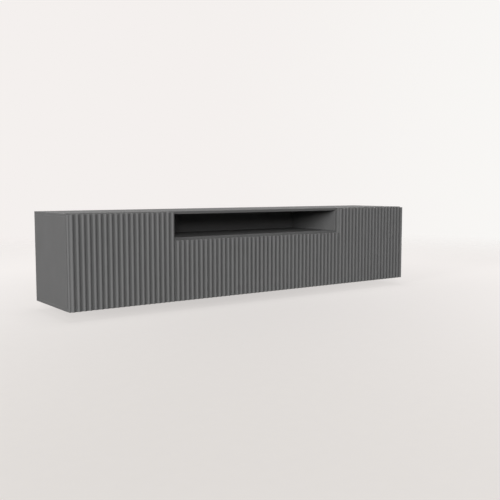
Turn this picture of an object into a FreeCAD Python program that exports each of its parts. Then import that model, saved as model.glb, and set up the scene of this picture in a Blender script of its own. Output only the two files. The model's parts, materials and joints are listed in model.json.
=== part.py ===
import FreeCAD, Part
import math
import os
import Sketcher

# Wall-hung media console: a carcass of laminated board with an open niche along the
# top centre, a fluted door on each side and a wide fluted drawer under the niche.
# +X runs along the console, -Y is the front, +Y the wall, +Z up. The origin is at the
# bottom centre of the whole console. Millimetres.

doc = FreeCAD.newDocument("media_console")
sheet = doc.addObject("Spreadsheet::Sheet", "Sizes")

DRIVING_SIZES = {
    # overall
    "overall_length": 2000,
    "overall_depth": 400,
    "overall_height": 408,
    # carcass
    "board": 13,
    "module_length": 500,
    "niche_height": 107,
    "back_thickness": 3,
    "rail_space": 15,
    "groove_depth": 5,
    "shelf_height": 200,
    "shelf_setback": 18,
    "shelf_play": 1,
    "shelf_rear_gap": 2,
    "groove_play": 0.2,
    "backs_spacing": 0.5,
    # fluted fronts
    "front_thickness": 22,
    "front_gap": 2,
    "fronts_spacing": 3,
    "side_reveal": 1.5,
    "top_reveal": 4,
    "shelf_overlay": 1,
    "door_flutes": 20,
    "drawer_flutes": 40,
    "flute_width": 16,
    "flute_radius": 10.4,
    "first_flute": 5.4,
    "front_rounding": 3,
    "back_rounding": 2,
    # cup hinges
    "hinge_inset": 75,
    "cup_radius": 17.5,
    "cup_depth": 12.5,
    "cup_edge": 2.5,
    "cup_floor": 0.8,
    "cup_play": 0.1,
    "flange_sheet": 1.2,
    "flange_height": 58,
    "flange_front": 10,
    "flange_rear": 17,
    "cup_screw_inset": 9.5,
    "cup_screw_spacing": 45,
    "cup_screw_length": 12,
    "pin_radius": 1.4,
    "pin_inset": 8,
    "pin_depth": 8.8,
    "pin_length": 18,
    "eye_wall": 1.2,
    "neck_reach": 18,
    "neck_drop": 0.2,
    "elbow_back": 12,
    "arm_rear": 60,
    "arm_screw_front": 25,
    "arm_screw_rear": 50,
    "arm_width": 12,
    "arm_sheet": 2.6,
    "plate_sheet": 2.6,
    "plate_front": 18,
    "plate_core_height": 14,
    "plate_wing_height": 48,
    "plate_wing_width": 12,
    "plate_screw_back": 37,
    "plate_screw_spacing": 32,
    "sheet_spacing": 0.2,
    # drawer and its runners
    "drawer_board": 12,
    "drawer_head_room": 47,
    "drawer_lift": 15,
    "drawer_bottom_sheet": 6,
    "drawer_bottom_rise": 10,
    "drawer_screw_inset": 30,
    "drawer_screw_bite": 25,
    "front_screw_inset": 60,
    "front_screw_bite": 10,
    "runner_step": 50,
    "runner_rear_room": 5,
    "runner_height": 45,
    "runner_width": 12.7,
    "runner_sheet": 1.2,
    "runner_level": 85,
    "runner_setback": 0.5,
    "runner_screw_inset": 20,
    "outer_reach": 9.6,
    "middle_start": 3,
    "middle_reach": 10.2,
    "inner_start": 5.4,
    "outer_ball_line": 6,
    "inner_ball_line": 8,
    "ball_radius": 1.75,
    "ball_play": 0.1,
    "cage_spare": 15,
    "cage_end": 8,
    "cage_sheet": 0.5,
    "cage_flange": 0.8,
    "outer_cage_start": 2.1,
    "outer_cage_reach": 9,
    "inner_cage_start": 4.5,
    "inner_cage_reach": 10.2,
    # wall hanging
    "rail_lip_drop": 25,
    "rail_lip_height": 22,
    "rail_foot_height": 22,
    "rail_step": 10,
    "rail_hole_drop": 31,
    "rail_sheet": 2,
    "rail_end_gap": 7,
    "rail_hole_radius": 3.25,
    "hook_sheet": 3,
    "hanger_width": 20,
    "hanger_height": 60,
    "hanger_depth": 40,
    "hanger_rise": 17,
    "hanger_rear_gap": 0.5,
    "hanger_screw_low": 8,
    "hanger_screw_high": 22,
    "adjuster_inset": 5,
    "hook_height": 22,
    "hook_overlap": 10,
    "hook_inset": 10,
    "hook_play": 0.1,
    "hook_wall_gap": 2.5,
    "window_width": 12,
    "window_margin": 4,
    # push latches
    "latch_width": 10,
    "latch_height": 14,
    "latch_length": 58,
    "plunger_radius": 2.5,
    "plunger_length": 34,
    "latch_bore": 46,
    "latch_screw_front": 12,
    "latch_screw_raise": 4.8,
    "latch_screw_rear": 6,
    "latch_drop": 40,
    "drawer_latch_drop": 23,
    "pad_radius": 7,
    "pad_sheet": 1,
    # fittings
    "cam_radius": 6,
    "cam_depth": 10,
    "bolt_reach": 24,
    "bolt_inset": 50,
    "bolt_thread_radius": 3,
    "bolt_thread_length": 10,
    "bolt_shaft_radius": 2.25,
    "bolt_bore_radius": 3.2,
    "cam_throat_radius": 2.7,
    "cam_slot_width": 1.2,
    "cam_slot_depth": 1.2,
    "dowel_radius": 3,
    "dowel_length": 20,
    "dowel_bite": 8,
    "dowel_step": 32,
    "shelf_pin_radius": 2.5,
    "shelf_pin_reach": 8,
    "fit": 0.05,
    "gap": 0.3,
    # screws: head radius, head height and shank radius of each kind
    "back_screw_length": 14,
    "back_screw_low": 40,
    "back_screw_drop": 40,
    "back_screw_high": 60,
    "back_screw_head": 2.2,
    "back_screw_rise": 1.2,
    "back_screw_shank": 1.2,
    "hinge_screw_head": 3.4,
    "hinge_screw_rise": 1.2,
    "hinge_screw_shank": 1.75,
    "arm_screw_head": 3,
    "arm_screw_rise": 1.5,
    "arm_screw_shank": 2,
    "latch_screw_head": 2,
    "latch_screw_rise": 1,
    "latch_screw_shank": 1.1,
    "board_screw_head": 3.4,
    "board_screw_rise": 1.2,
    "board_screw_shank": 2,
    "front_screw_head": 4,
    "front_screw_rise": 1.5,
    "front_screw_shank": 2,
    "runner_screw_head": 3,
    "runner_screw_rise": 0.55,
    "runner_screw_shank": 1.5,
    "adjuster_head": 3,
    "adjuster_rise": 1.2,
    "adjuster_shank": 2,
    "screw_bite": 9,
}

for row, (alias, value) in enumerate(DRIVING_SIZES.items(), start=1):
    sheet.set(f"A{row}", alias)
    sheet.set(f"B{row}", str(value))
    sheet.setAlias(f"B{row}", alias)
doc.recompute()

# Places worked out from the driving sizes, written as expressions for the document.
HALF = "(Sizes.overall_length / 2)"
FRONT = "(-Sizes.overall_depth / 2)"
FRONT_REAR = f"({FRONT} + Sizes.front_thickness)"
EDGE = f"({FRONT_REAR} + Sizes.front_gap)"
WALL = "(Sizes.overall_depth / 2)"
BACK_REAR = f"({WALL} - Sizes.rail_space)"
BACK_FACE = f"({BACK_REAR} - Sizes.back_thickness)"
CEILING = "(Sizes.overall_height - Sizes.board)"
SHELF_TOP = f"({CEILING} - Sizes.niche_height)"
SHELF_UNDER = f"({SHELF_TOP} - Sizes.board)"
SIDE_INSIDE = f"({HALF} - Sizes.board)"
DIVIDER = f"({HALF} - Sizes.module_length)"
DIVIDER_BAY = f"({DIVIDER} + Sizes.board / 2)"
DIVIDER_DRAWER = f"({DIVIDER} - Sizes.board / 2)"
BOARD = "Sizes.board"
DOOR_WIDTH = "(Sizes.module_length - Sizes.side_reveal - Sizes.fronts_spacing / 2)"
DOOR_HEIGHT = "(Sizes.overall_height - Sizes.top_reveal)"
DRAWER_FRONT_WIDTH = "(Sizes.overall_length - 2 * Sizes.module_length - Sizes.fronts_spacing)"
DRAWER_FRONT_HEIGHT = f"({SHELF_UNDER} + Sizes.shelf_overlay)"
PIN_U = "Sizes.pin_inset"
PIN_V = "(Sizes.front_gap + Sizes.pin_depth)"
EYE_RADIUS = "(Sizes.pin_radius + Sizes.eye_wall)"
ELBOW_U = f"({PIN_U} + Sizes.neck_reach)"
PLATE_TOP = "(Sizes.board + Sizes.plate_sheet)"
ARM_SCREWS = ("Sizes.arm_screw_front", "Sizes.arm_screw_rear")

SIDES = {"left": -1, "right": 1}
TURNS = {
    "+X": FreeCAD.Rotation(FreeCAD.Vector(0, 1, 0), 90),
    "-X": FreeCAD.Rotation(FreeCAD.Vector(0, 1, 0), -90),
    "+Y": FreeCAD.Rotation(FreeCAD.Vector(1, 0, 0), -90),
    "-Y": FreeCAD.Rotation(FreeCAD.Vector(1, 0, 0), 90),
    "+Z": FreeCAD.Rotation(),
    "-Z": FreeCAD.Rotation(FreeCAD.Vector(1, 0, 0), 180),
}

sub_parts = {}
cutters = {}


def place(item, point):
    """Bind an object's position to three expressions."""
    for axis, value in zip("xyz", point):
        item.setExpression(f"Placement.Base.{axis}", value)


def box(x_centre, y_front, z_bottom, length, depth, height):
    """A block centred on x_centre, from y_front towards the wall and from z_bottom up."""
    item = doc.addObject("Part::Box", "block")
    item.setExpression("Length", length)
    item.setExpression("Width", depth)
    item.setExpression("Height", height)
    place(item, (f"{x_centre} - ({length}) / 2", y_front, z_bottom))
    return item


def cylinder(point, direction, radius, length):
    """A round bar from a point along a signed axis."""
    item = doc.addObject("Part::Cylinder", "bar")
    item.setExpression("Radius", radius)
    item.setExpression("Height", length)
    item.Placement = FreeCAD.Placement(FreeCAD.Vector(), TURNS[direction])
    place(item, point)
    return item


def sphere(point, radius):
    """A ball about a point."""
    item = doc.addObject("Part::Sphere", "ball")
    item.setExpression("Radius", radius)
    place(item, point)
    return item


def moved(point, direction, distance):
    """The point moved along a signed axis."""
    axis = "XYZ".index(direction[1])
    result = list(point)
    result[axis] = f"{point[axis]} {direction[0]} ({distance})"
    return tuple(result)


def opposite(direction):
    """The signed axis that points the other way."""
    return ("-" if direction[0] == "+" else "+") + direction[1]


def fuse(pieces):
    """One solid out of several touching pieces."""
    item = doc.addObject("Part::MultiFuse", "joined")
    item.Shapes = pieces
    item.Refine = True
    return item


def compound(pieces):
    """Several solids kept apart in one object."""
    item = doc.addObject("Part::Compound", "group")
    item.Links = pieces
    return item


def cut(base, tools):
    """The base with every tool taken away."""
    item = doc.addObject("Part::Cut", "shaped")
    item.Base = base
    item.Tool = tools[0] if len(tools) == 1 else compound(tools)
    return item


def bore(name, point, direction, radius, depth):
    """A hole in a named sub-part, from a point on its surface."""
    start = moved(point, opposite(direction), "1")
    cutters.setdefault(name, []).append(cylinder(start, direction, radius, f"{depth} + 1"))


def carve(name, block):
    """A block taken out of a named sub-part."""
    cutters.setdefault(name, []).append(block)


def add(name, item):
    """Keep an object as the sub-part of that name."""
    sub_parts[name] = item


def add_group(name, items):
    """Keep several separate solids as one sub-part."""
    add(name, compound(items))


def mirrored_x(side, distance):
    """The x of something this far from the middle, on one side."""
    return f"{side} * ({distance})"


def inward(side):
    """The signed axis that points to the middle from one side."""
    return "+X" if side < 0 else "-X"


def outward(side):
    """The signed axis that points away from the middle on one side."""
    return opposite(inward(side))


def screw(kind, point, direction, length):
    """A pan-head screw of a named kind whose head stands on the given point."""
    rise = f"Sizes.{kind}_rise"
    head = cylinder(moved(point, opposite(direction), rise), direction, f"Sizes.{kind}_head", rise)
    shank = cylinder(point, direction, f"Sizes.{kind}_shank", length)
    return fuse([head, shank])


def screw_hole(kind):
    """The radius of the hole for a kind of screw."""
    return f"Sizes.{kind}_shank + Sizes.fit"


def clearance_hole(kind, point, direction, depth):
    """A tool that cuts a screw's hole from a little above a point."""
    return cylinder(moved(point, opposite(direction), "1"), direction, screw_hole(kind), f"{depth} + 1")


BITE_HOLE = "Sizes.screw_bite + Sizes.gap"


# Carcass boards ---------------------------------------------------------------------

def make_carcass():
    """Top, bottom, sides, dividers, niche shelf and loose inner shelves."""
    depth = f"({WALL} - {EDGE})"
    inner_height = f"({CEILING} - Sizes.board)"
    divider_depth = f"({BACK_FACE} - {EDGE})"
    add("top_panel", box("0", EDGE, CEILING, "Sizes.overall_length", depth, BOARD))
    add("bottom_panel", box("0", EDGE, "0", "Sizes.overall_length", depth, BOARD))
    shelf_span = f"(2 * {DIVIDER_DRAWER})"
    add("niche_shelf", box("0", EDGE, SHELF_UNDER, shelf_span, divider_depth, BOARD))
    for word, side in SIDES.items():
        side_middle = mirrored_x(side, f"{HALF} - Sizes.board / 2")
        divider_middle = mirrored_x(side, DIVIDER)
        add(f"{word}_side_panel", box(side_middle, EDGE, BOARD, BOARD, depth, inner_height))
        add(f"{word}_divider", box(divider_middle, EDGE, BOARD, BOARD, divider_depth, inner_height))
        shelf_middle = mirrored_x(side, f"({SIDE_INSIDE} + {DIVIDER_BAY}) / 2")
        shelf_width = f"({SIDE_INSIDE} - {DIVIDER_BAY} - Sizes.shelf_play)"
        shelf_depth = f"({divider_depth} - Sizes.shelf_setback - Sizes.shelf_rear_gap)"
        front = f"({EDGE} + Sizes.shelf_setback)"
        shelf = box(shelf_middle, front, "Sizes.shelf_height", shelf_width, shelf_depth, BOARD)
        add(f"{word}_inner_shelf", shelf)


def make_back_panels():
    """Thin backs held in grooves, each pair meeting behind a divider."""
    tongue = "(Sizes.groove_depth - Sizes.groove_play)"
    inner_end = f"({DIVIDER} + Sizes.backs_spacing / 2)"
    outer_end = f"({SIDE_INSIDE} + {tongue})"
    bottom = f"({BOARD} - {tongue})"
    height = f"({CEILING} - {BOARD} + 2 * {tongue})"
    bay_width = f"({outer_end} - {inner_end})"
    for word, side in SIDES.items():
        middle = mirrored_x(side, f"({outer_end} + {inner_end}) / 2")
        panel = box(middle, BACK_FACE, bottom, bay_width, "Sizes.back_thickness", height)
        add(f"{word}_back_panel", panel)
    centre_width = f"(2 * {DIVIDER} - Sizes.backs_spacing)"
    panel = box("0", BACK_FACE, bottom, centre_width, "Sizes.back_thickness", height)
    add("centre_back_panel", panel)
    groove_front = f"({BACK_FACE} - Sizes.groove_play / 2)"
    groove_width = "(Sizes.back_thickness + Sizes.groove_play)"
    groove_length = f"(2 * {SIDE_INSIDE} + 2 * Sizes.groove_depth)"
    inner_height = f"({CEILING} - {BOARD})"
    depth = "Sizes.groove_depth"
    carve("top_panel", box("0", groove_front, CEILING, groove_length, groove_width, depth))
    low = f"({BOARD} - {depth})"
    carve("bottom_panel", box("0", groove_front, low, groove_length, groove_width, depth))
    for word, side in SIDES.items():
        middle = mirrored_x(side, f"{SIDE_INSIDE} + {depth} / 2")
        groove = box(middle, groove_front, BOARD, depth, groove_width, inner_height)
        carve(f"{word}_side_panel", groove)


def back_screw(point, panel, holder, screws):
    """One short screw through a back panel into the edge of the board in front of it."""
    screws.append(screw("back_screw", point, "-Y", "Sizes.back_screw_length"))
    bore(panel, point, "-Y", screw_hole("back_screw"), "Sizes.back_thickness + 1")
    bore(holder, point, "-Y", screw_hole("back_screw"), "Sizes.back_screw_length + Sizes.gap")


def make_back_screws():
    """Short screws through the backs into the dividers and the niche shelf."""
    screws = []
    levels = [
        f"({BOARD} + Sizes.back_screw_low)",
        f"(({BOARD} + {CEILING}) / 2 - Sizes.back_screw_drop)",
        f"({CEILING} - Sizes.back_screw_high)",
    ]
    for word, side in SIDES.items():
        for panel, step in ((f"{word}_back_panel", "+"), ("centre_back_panel", "-")):
            x = mirrored_x(side, f"{DIVIDER} {step} Sizes.board / 4")
            for level in levels:
                back_screw((x, BACK_REAR, level), panel, f"{word}_divider", screws)
    for share in (-0.6, 0, 0.6):
        point = (f"{share} * {DIVIDER}", BACK_REAR, f"({SHELF_UNDER} + Sizes.board / 2)")
        back_screw(point, "centre_back_panel", "niche_shelf", screws)
    add_group("back_panel_screws", screws)


# Cam fittings, dowels and shelf pins ---------------------------------------------------

def cam_joint(holder, target, corner, run, into_cam, fittings):
    """A bolt from the target board into the holder's edge, caught by a cam in its face.

    corner is where the bolt leaves the target, run the bolt's way into the holder and
    into_cam the way the cam is pressed in from the holder's face.
    """
    cams, bolts = fittings
    thread_length = "Sizes.bolt_thread_length"
    thread_root = moved(corner, opposite(run), thread_length)
    thread = cylinder(thread_root, run, "Sizes.bolt_thread_radius", thread_length)
    shaft = cylinder(corner, run, "Sizes.bolt_shaft_radius", "Sizes.bolt_reach + 2")
    bolts.append(fuse([thread, shaft]))
    thread_hole = "Sizes.bolt_thread_radius + Sizes.fit"
    bore(target, corner, opposite(run), thread_hole, f"{thread_length} + Sizes.gap")
    bore(holder, corner, run, "Sizes.bolt_bore_radius", "Sizes.bolt_reach")
    centre = moved(corner, run, "Sizes.bolt_reach")
    face = moved(centre, opposite(into_cam), "Sizes.board / 2")
    bore(holder, face, into_cam, "Sizes.cam_radius + 2 * Sizes.fit", "Sizes.cam_depth + Sizes.gap")
    drum = cylinder(face, into_cam, "Sizes.cam_radius", "Sizes.cam_depth")
    throat_start = moved(centre, opposite(run), "Sizes.cam_radius + 1")
    throat = cylinder(throat_start, run, "Sizes.cam_throat_radius", "Sizes.cam_radius + 4")
    cams.append(cut(drum, [throat, driver_slot(face, into_cam)]))


def driver_slot(face, into_cam):
    """The screwdriver slot across a cam's face."""
    x, y, z = face
    length = "Sizes.cam_radius * 1.4"
    width = "Sizes.cam_slot_width"
    depth = "2 * Sizes.cam_slot_depth"
    if into_cam[1] == "X":
        return box(x, f"{y} - {width} / 2", f"{z} - {length} / 2", depth, width, length)
    return box(x, f"{y} - {width} / 2", f"{z} - Sizes.cam_slot_depth", length, width, depth)


def dowel_joint(holder, target, corner, run, dowels):
    """A wooden dowel across a joint, the shorter part of it in the target board."""
    start = moved(corner, opposite(run), "Sizes.dowel_bite")
    dowels.append(cylinder(start, run, "Sizes.dowel_radius", "Sizes.dowel_length"))
    hole = "Sizes.dowel_radius + Sizes.fit"
    bore(target, corner, opposite(run), hole, "Sizes.dowel_bite + Sizes.gap")
    bore(holder, corner, run, hole, "Sizes.dowel_length - Sizes.dowel_bite + Sizes.gap")


def make_fittings():
    """Cams, cam bolts and dowels at every corner joint of the carcass."""
    cams, bolts, dowels = [], [], []
    bolt_rows = [f"({EDGE} + Sizes.bolt_inset)", f"({BACK_FACE} - Sizes.bolt_inset)"]
    dowel_rows = [f"({EDGE} + Sizes.bolt_inset + Sizes.dowel_step)"]
    dowel_rows.append(f"({BACK_FACE} - Sizes.bolt_inset - Sizes.dowel_step)")
    for word, side in SIDES.items():
        uprights = [
            (f"{word}_side_panel", mirrored_x(side, f"{HALF} - Sizes.board / 2"), outward(side)),
            (f"{word}_divider", mirrored_x(side, DIVIDER), inward(side)),
        ]
        for holder, x_middle, into_cam in uprights:
            for target, level, run in (("top_panel", CEILING, "-Z"), ("bottom_panel", BOARD, "+Z")):
                for row in bolt_rows:
                    cam_joint(holder, target, (x_middle, row, level), run, into_cam, (cams, bolts))
                for row in dowel_rows:
                    dowel_joint(holder, target, (x_middle, row, level), run, dowels)
        end = mirrored_x(side, DIVIDER_DRAWER)
        shelf_middle = f"({SHELF_UNDER} + Sizes.board / 2)"
        run = inward(side)
        for row in bolt_rows:
            corner = (end, row, shelf_middle)
            cam_joint("niche_shelf", f"{word}_divider", corner, run, "+Z", (cams, bolts))
        for row in dowel_rows:
            dowel_joint("niche_shelf", f"{word}_divider", (end, row, shelf_middle), run, dowels)
    add_group("cam_locks", cams)
    add_group("cam_bolts", bolts)
    add_group("dowels", dowels)


def make_shelf_pins():
    """Four pins under each loose shelf, let into the side and the divider."""
    pins = []
    level = "(Sizes.shelf_height - Sizes.shelf_pin_radius)"
    rows = [f"({EDGE} + Sizes.bolt_inset)", f"({BACK_FACE} - Sizes.bolt_inset)"]
    for word, side in SIDES.items():
        walls = [
            (f"{word}_side_panel", mirrored_x(side, SIDE_INSIDE), outward(side)),
            (f"{word}_divider", mirrored_x(side, DIVIDER_BAY), inward(side)),
        ]
        for holder, face_x, into in walls:
            for row in rows:
                face = (face_x, row, level)
                start = moved(face, opposite(into), "Sizes.shelf_pin_reach")
                pins.append(cylinder(start, into, "Sizes.shelf_pin_radius", "2 * Sizes.shelf_pin_reach"))
                depth = "Sizes.shelf_pin_reach + Sizes.gap"
                bore(holder, face, into, "Sizes.shelf_pin_radius + Sizes.fit", depth)
    add_group("shelf_pins", pins)


# Fluted fronts ----------------------------------------------------------------------

def origin_plane(body, role):
    """One of a body's own origin planes."""
    return next(item for item in body.Origin.OriginFeatures if item.Role == role)


def sketch_on_floor(body, name):
    """A sketch on the body's XY plane."""
    sketch = body.newObject("Sketcher::SketchObject", name)
    sketch.AttachmentSupport = [(origin_plane(body, "XY_Plane"), "")]
    sketch.MapMode = "FlatFace"
    return sketch


def named(sketch, constraint, name, expression):
    """Add a constraint whose value follows an expression."""
    index = sketch.addConstraint(constraint)
    sketch.renameConstraint(index, name)
    sketch.setExpression(f"Constraints.{name}", expression)


def plate_sketch(body, inset, width, thickness):
    """A rectangle this far along x from the body's origin, its thickness along y."""
    sketch = sketch_on_floor(body, "plate_outline")
    corners = [(25, 0), (425, 0), (425, 20), (25, 20)]
    points = [FreeCAD.Vector(x, y, 0) for x, y in corners]
    for index in range(4):
        sketch.addGeometry(Part.LineSegment(points[index], points[(index + 1) % 4]), False)
    for index in range(4):
        sketch.addConstraint(Sketcher.Constraint("Coincident", index, 2, (index + 1) % 4, 1))
        kind = "Vertical" if index % 2 else "Horizontal"
        sketch.addConstraint(Sketcher.Constraint(kind, index))
    sketch.addConstraint(Sketcher.Constraint("PointOnObject", 0, 1, -1))
    named(sketch, Sketcher.Constraint("DistanceX", -1, 1, 0, 1, 25), "inset", inset)
    named(sketch, Sketcher.Constraint("DistanceX", 0, 1, 0, 2, 400), "width", width)
    named(sketch, Sketcher.Constraint("DistanceY", 1, 1, 1, 2, 20), "thickness", thickness)
    return sketch


def segment_sketch(body, name, start, chord, radius, bulge):
    """A circular segment whose chord lies on y = 0, from start along x.

    bulge -1 puts the arc in front of the chord (a crest), +1 behind it (a flute).
    """
    sketch = sketch_on_floor(body, name)
    turn = bulge * math.pi / 2
    spread = 0.6
    circle = Part.Circle(FreeCAD.Vector(20, -8.0 * bulge, 0), FreeCAD.Vector(0, 0, 1), 10.0)
    arc = Part.ArcOfCircle(circle, turn - spread, turn + spread)
    sketch.addGeometry(arc, False)
    first, last = (1, 2) if bulge < 0 else (2, 1)
    ends = [arc.StartPoint, arc.EndPoint] if bulge < 0 else [arc.EndPoint, arc.StartPoint]
    sketch.addGeometry(Part.LineSegment(ends[0], ends[1]), False)
    sketch.addConstraint(Sketcher.Constraint("Coincident", 1, 1, 0, first))
    sketch.addConstraint(Sketcher.Constraint("Coincident", 1, 2, 0, last))
    sketch.addConstraint(Sketcher.Constraint("PointOnObject", 1, 1, -1))
    sketch.addConstraint(Sketcher.Constraint("PointOnObject", 1, 2, -1))
    named(sketch, Sketcher.Constraint("DistanceX", 1, 1, 1, 2, 11), "chord", chord)
    named(sketch, Sketcher.Constraint("Radius", 0, 10.0), "radius", radius)
    named(sketch, Sketcher.Constraint("DistanceX", -1, 1, 1, 1, 10), "start", start)
    return sketch


def pattern(body, feature, sketch, name, count, pitch):
    """Repeat a feature along x."""
    row = body.newObject("PartDesign::LinearPattern", name)
    row.Originals = [feature]
    row.Direction = (sketch, ["H_Axis"])
    row.setExpression("Occurrences", count)
    row.setExpression("Length", f"{pitch} * ({count} - 1)")
    body.Tip = row
    doc.recompute()
    return row


def round_uprights(body, name, radius, wanted):
    """Round the vertical edges that the test picks out."""
    base = body.Tip
    names = []
    for index, edge in enumerate(base.Shape.Edges, start=1):
        bounds = edge.BoundBox
        upright = bounds.XLength < 0.001 and bounds.YLength < 0.001 and bounds.ZLength > 1
        if upright and wanted(edge.CenterOfMass):
            names.append(f"Edge{index}")
    fillet = body.newObject("PartDesign::Fillet", name)
    fillet.Base = (base, names)
    fillet.setExpression("Radius", radius)
    body.Tip = fillet
    doc.recompute()


def fluted_front(word, width, height, flutes):
    """A board whose front is a row of hollow flutes with rounded crests between them.

    In the body's own frame the board starts one flute pitch along x, y = 0 is the
    level where flutes and crests change over, and y points towards the wall.
    """
    body = doc.addObject("PartDesign::Body", f"{word}_body")
    pitch = f"({width} / {flutes})"
    crest_rise = crest_height(pitch)
    plate = body.newObject("PartDesign::Pad", "plate")
    plate.Profile = plate_sketch(body, pitch, width, f"Sizes.front_thickness - {crest_rise}")
    plate.setExpression("Length", height)
    doc.recompute()
    start = f"{pitch} + Sizes.first_flute + Sizes.flute_width / 2"
    outline = segment_sketch(body, "crest_outline", start, crest_chord(pitch), crest_radius(pitch), -1)
    ridge = body.newObject("PartDesign::Pad", "crest")
    ridge.Profile = outline
    ridge.setExpression("Length", height)
    doc.recompute()
    pattern(body, ridge, outline, "crests", flutes, pitch)
    plain_volume = body.Shape.Volume
    start = f"{pitch} + Sizes.first_flute - Sizes.flute_width / 2"
    outline = segment_sketch(body, "flute_outline", start, "Sizes.flute_width", "Sizes.flute_radius", 1)
    hollow = body.newObject("PartDesign::Pocket", "flute")
    hollow.Profile = outline
    hollow.Reversed = True
    hollow.setExpression("Length", height)
    doc.recompute()
    pattern(body, hollow, outline, "flutes", f"({flutes} + 1)", pitch)
    if body.Shape.Volume >= plain_volume:
        raise RuntimeError(f"{word}: the flutes cut nothing")
    bounds = body.Shape.BoundBox
    middle = (bounds.YMin + bounds.YMax) / 2

    def at_end(point):
        return min(abs(point.x - bounds.XMin), abs(point.x - bounds.XMax)) < 0.01

    def front_corner(point):
        return at_end(point) and point.y < middle

    def rear_corner(point):
        return at_end(point) and point.y > middle

    round_uprights(body, "front_corners", "Sizes.front_rounding", front_corner)
    round_uprights(body, "rear_corners", "Sizes.back_rounding", rear_corner)
    return body


def crest_chord(pitch):
    """The width of one crest at its foot."""
    return f"({pitch} - Sizes.flute_width)"


def crest_radius(pitch):
    """The crest's radius, which runs smoothly into the flutes."""
    return f"(Sizes.flute_radius * {crest_chord(pitch)} / Sizes.flute_width)"


def crest_height(pitch):
    """How far a crest stands out from its foot."""
    radius = crest_radius(pitch)
    return f"({radius} - sqrt({radius} ^ 2 - ({crest_chord(pitch)} / 2) ^ 2))"


def make_fronts():
    """The two doors and the drawer front."""
    right_start = f"({HALF} - Sizes.side_reveal - {DOOR_WIDTH})"
    fronts = [
        ("left_door", DOOR_WIDTH, DOOR_HEIGHT, "Sizes.door_flutes", f"(-{HALF} + Sizes.side_reveal)"),
        ("right_door", DOOR_WIDTH, DOOR_HEIGHT, "Sizes.door_flutes", right_start),
        ("drawer_front", DRAWER_FRONT_WIDTH, DRAWER_FRONT_HEIGHT, "Sizes.drawer_flutes",
         f"(-{DRAWER_FRONT_WIDTH} / 2)"),
    ]
    for word, width, height, flutes, left in fronts:
        body = fluted_front(word, width, height, flutes)
        pitch = f"({width} / {flutes})"
        place(body, (f"{left} - {pitch}", f"{FRONT} + {crest_height(pitch)}", "0"))
        add(word, body)


# Cup hinges ---------------------------------------------------------------------------

def hinge_point(side, u, v, level):
    """A point u in from the console's end and v in front of the carcass's front edges."""
    return (mirrored_x(side, f"{HALF} - ({u})"), f"{EDGE} - ({v})", level)


def hinge_box(side, u_range, v_range, level, height):
    """A block between two u and two v values, centred on a level."""
    u_low, u_high = u_range
    v_low, v_high = v_range
    x_middle = mirrored_x(side, f"{HALF} - (({u_low}) + ({u_high})) / 2")
    z_low = f"{level} - ({height}) / 2"
    length = f"({u_high}) - ({u_low})"
    return box(x_middle, f"{EDGE} - ({v_high})", z_low, length, f"({v_high}) - ({v_low})", height)


def make_hinge_cup(word, side, level):
    """A cup let into the door's back, slotted for the arm, with its pin and two screws."""
    door = f"{word}_door"
    cup_u = "(Sizes.side_reveal + Sizes.cup_edge + Sizes.cup_radius)"
    mouth = hinge_point(side, cup_u, "Sizes.front_gap", level)
    bore(door, mouth, "-Y", "Sizes.cup_radius + 2 * Sizes.fit", "Sizes.cup_depth + Sizes.cup_play")
    drum = cylinder(mouth, "-Y", "Sizes.cup_radius", "Sizes.cup_depth")
    flange_u = (f"{cup_u} - Sizes.flange_front", f"{cup_u} + Sizes.flange_rear")
    flange_v = ("Sizes.front_gap - Sizes.flange_sheet", "Sizes.front_gap")
    flange = hinge_box(side, flange_u, flange_v, level, "Sizes.flange_height")
    slot_v = ("0", "Sizes.front_gap + Sizes.cup_depth - Sizes.cup_floor")
    slot_u = (f"{PIN_U} - {EYE_RADIUS} - Sizes.sheet_spacing", f"{ELBOW_U} + Sizes.arm_sheet + 1")
    slot = hinge_box(side, slot_u, slot_v, level, "Sizes.arm_width + 1")
    pin_foot = hinge_point(side, PIN_U, PIN_V, f"{level} - Sizes.pin_length / 2")
    hole = cylinder(pin_foot, "+Z", "Sizes.pin_radius + Sizes.fit", "Sizes.pin_length")
    pin = cylinder(pin_foot, "+Z", "Sizes.pin_radius", "Sizes.pin_length")
    tools = [slot, hole]
    screws = []
    for sign in "-+":
        screw_level = f"{level} {sign} Sizes.cup_screw_spacing / 2"
        point = hinge_point(side, f"{cup_u} + Sizes.cup_screw_inset", flange_v[0], screw_level)
        screws.append(screw("hinge_screw", point, "-Y", "Sizes.cup_screw_length"))
        tools.append(clearance_hole("hinge_screw", point, "-Y", "Sizes.flange_sheet + 1"))
        bore(door, point, "-Y", screw_hole("hinge_screw"), "Sizes.cup_screw_length + Sizes.gap")
    return cut(fuse([drum, flange]), tools), pin, screws


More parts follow.
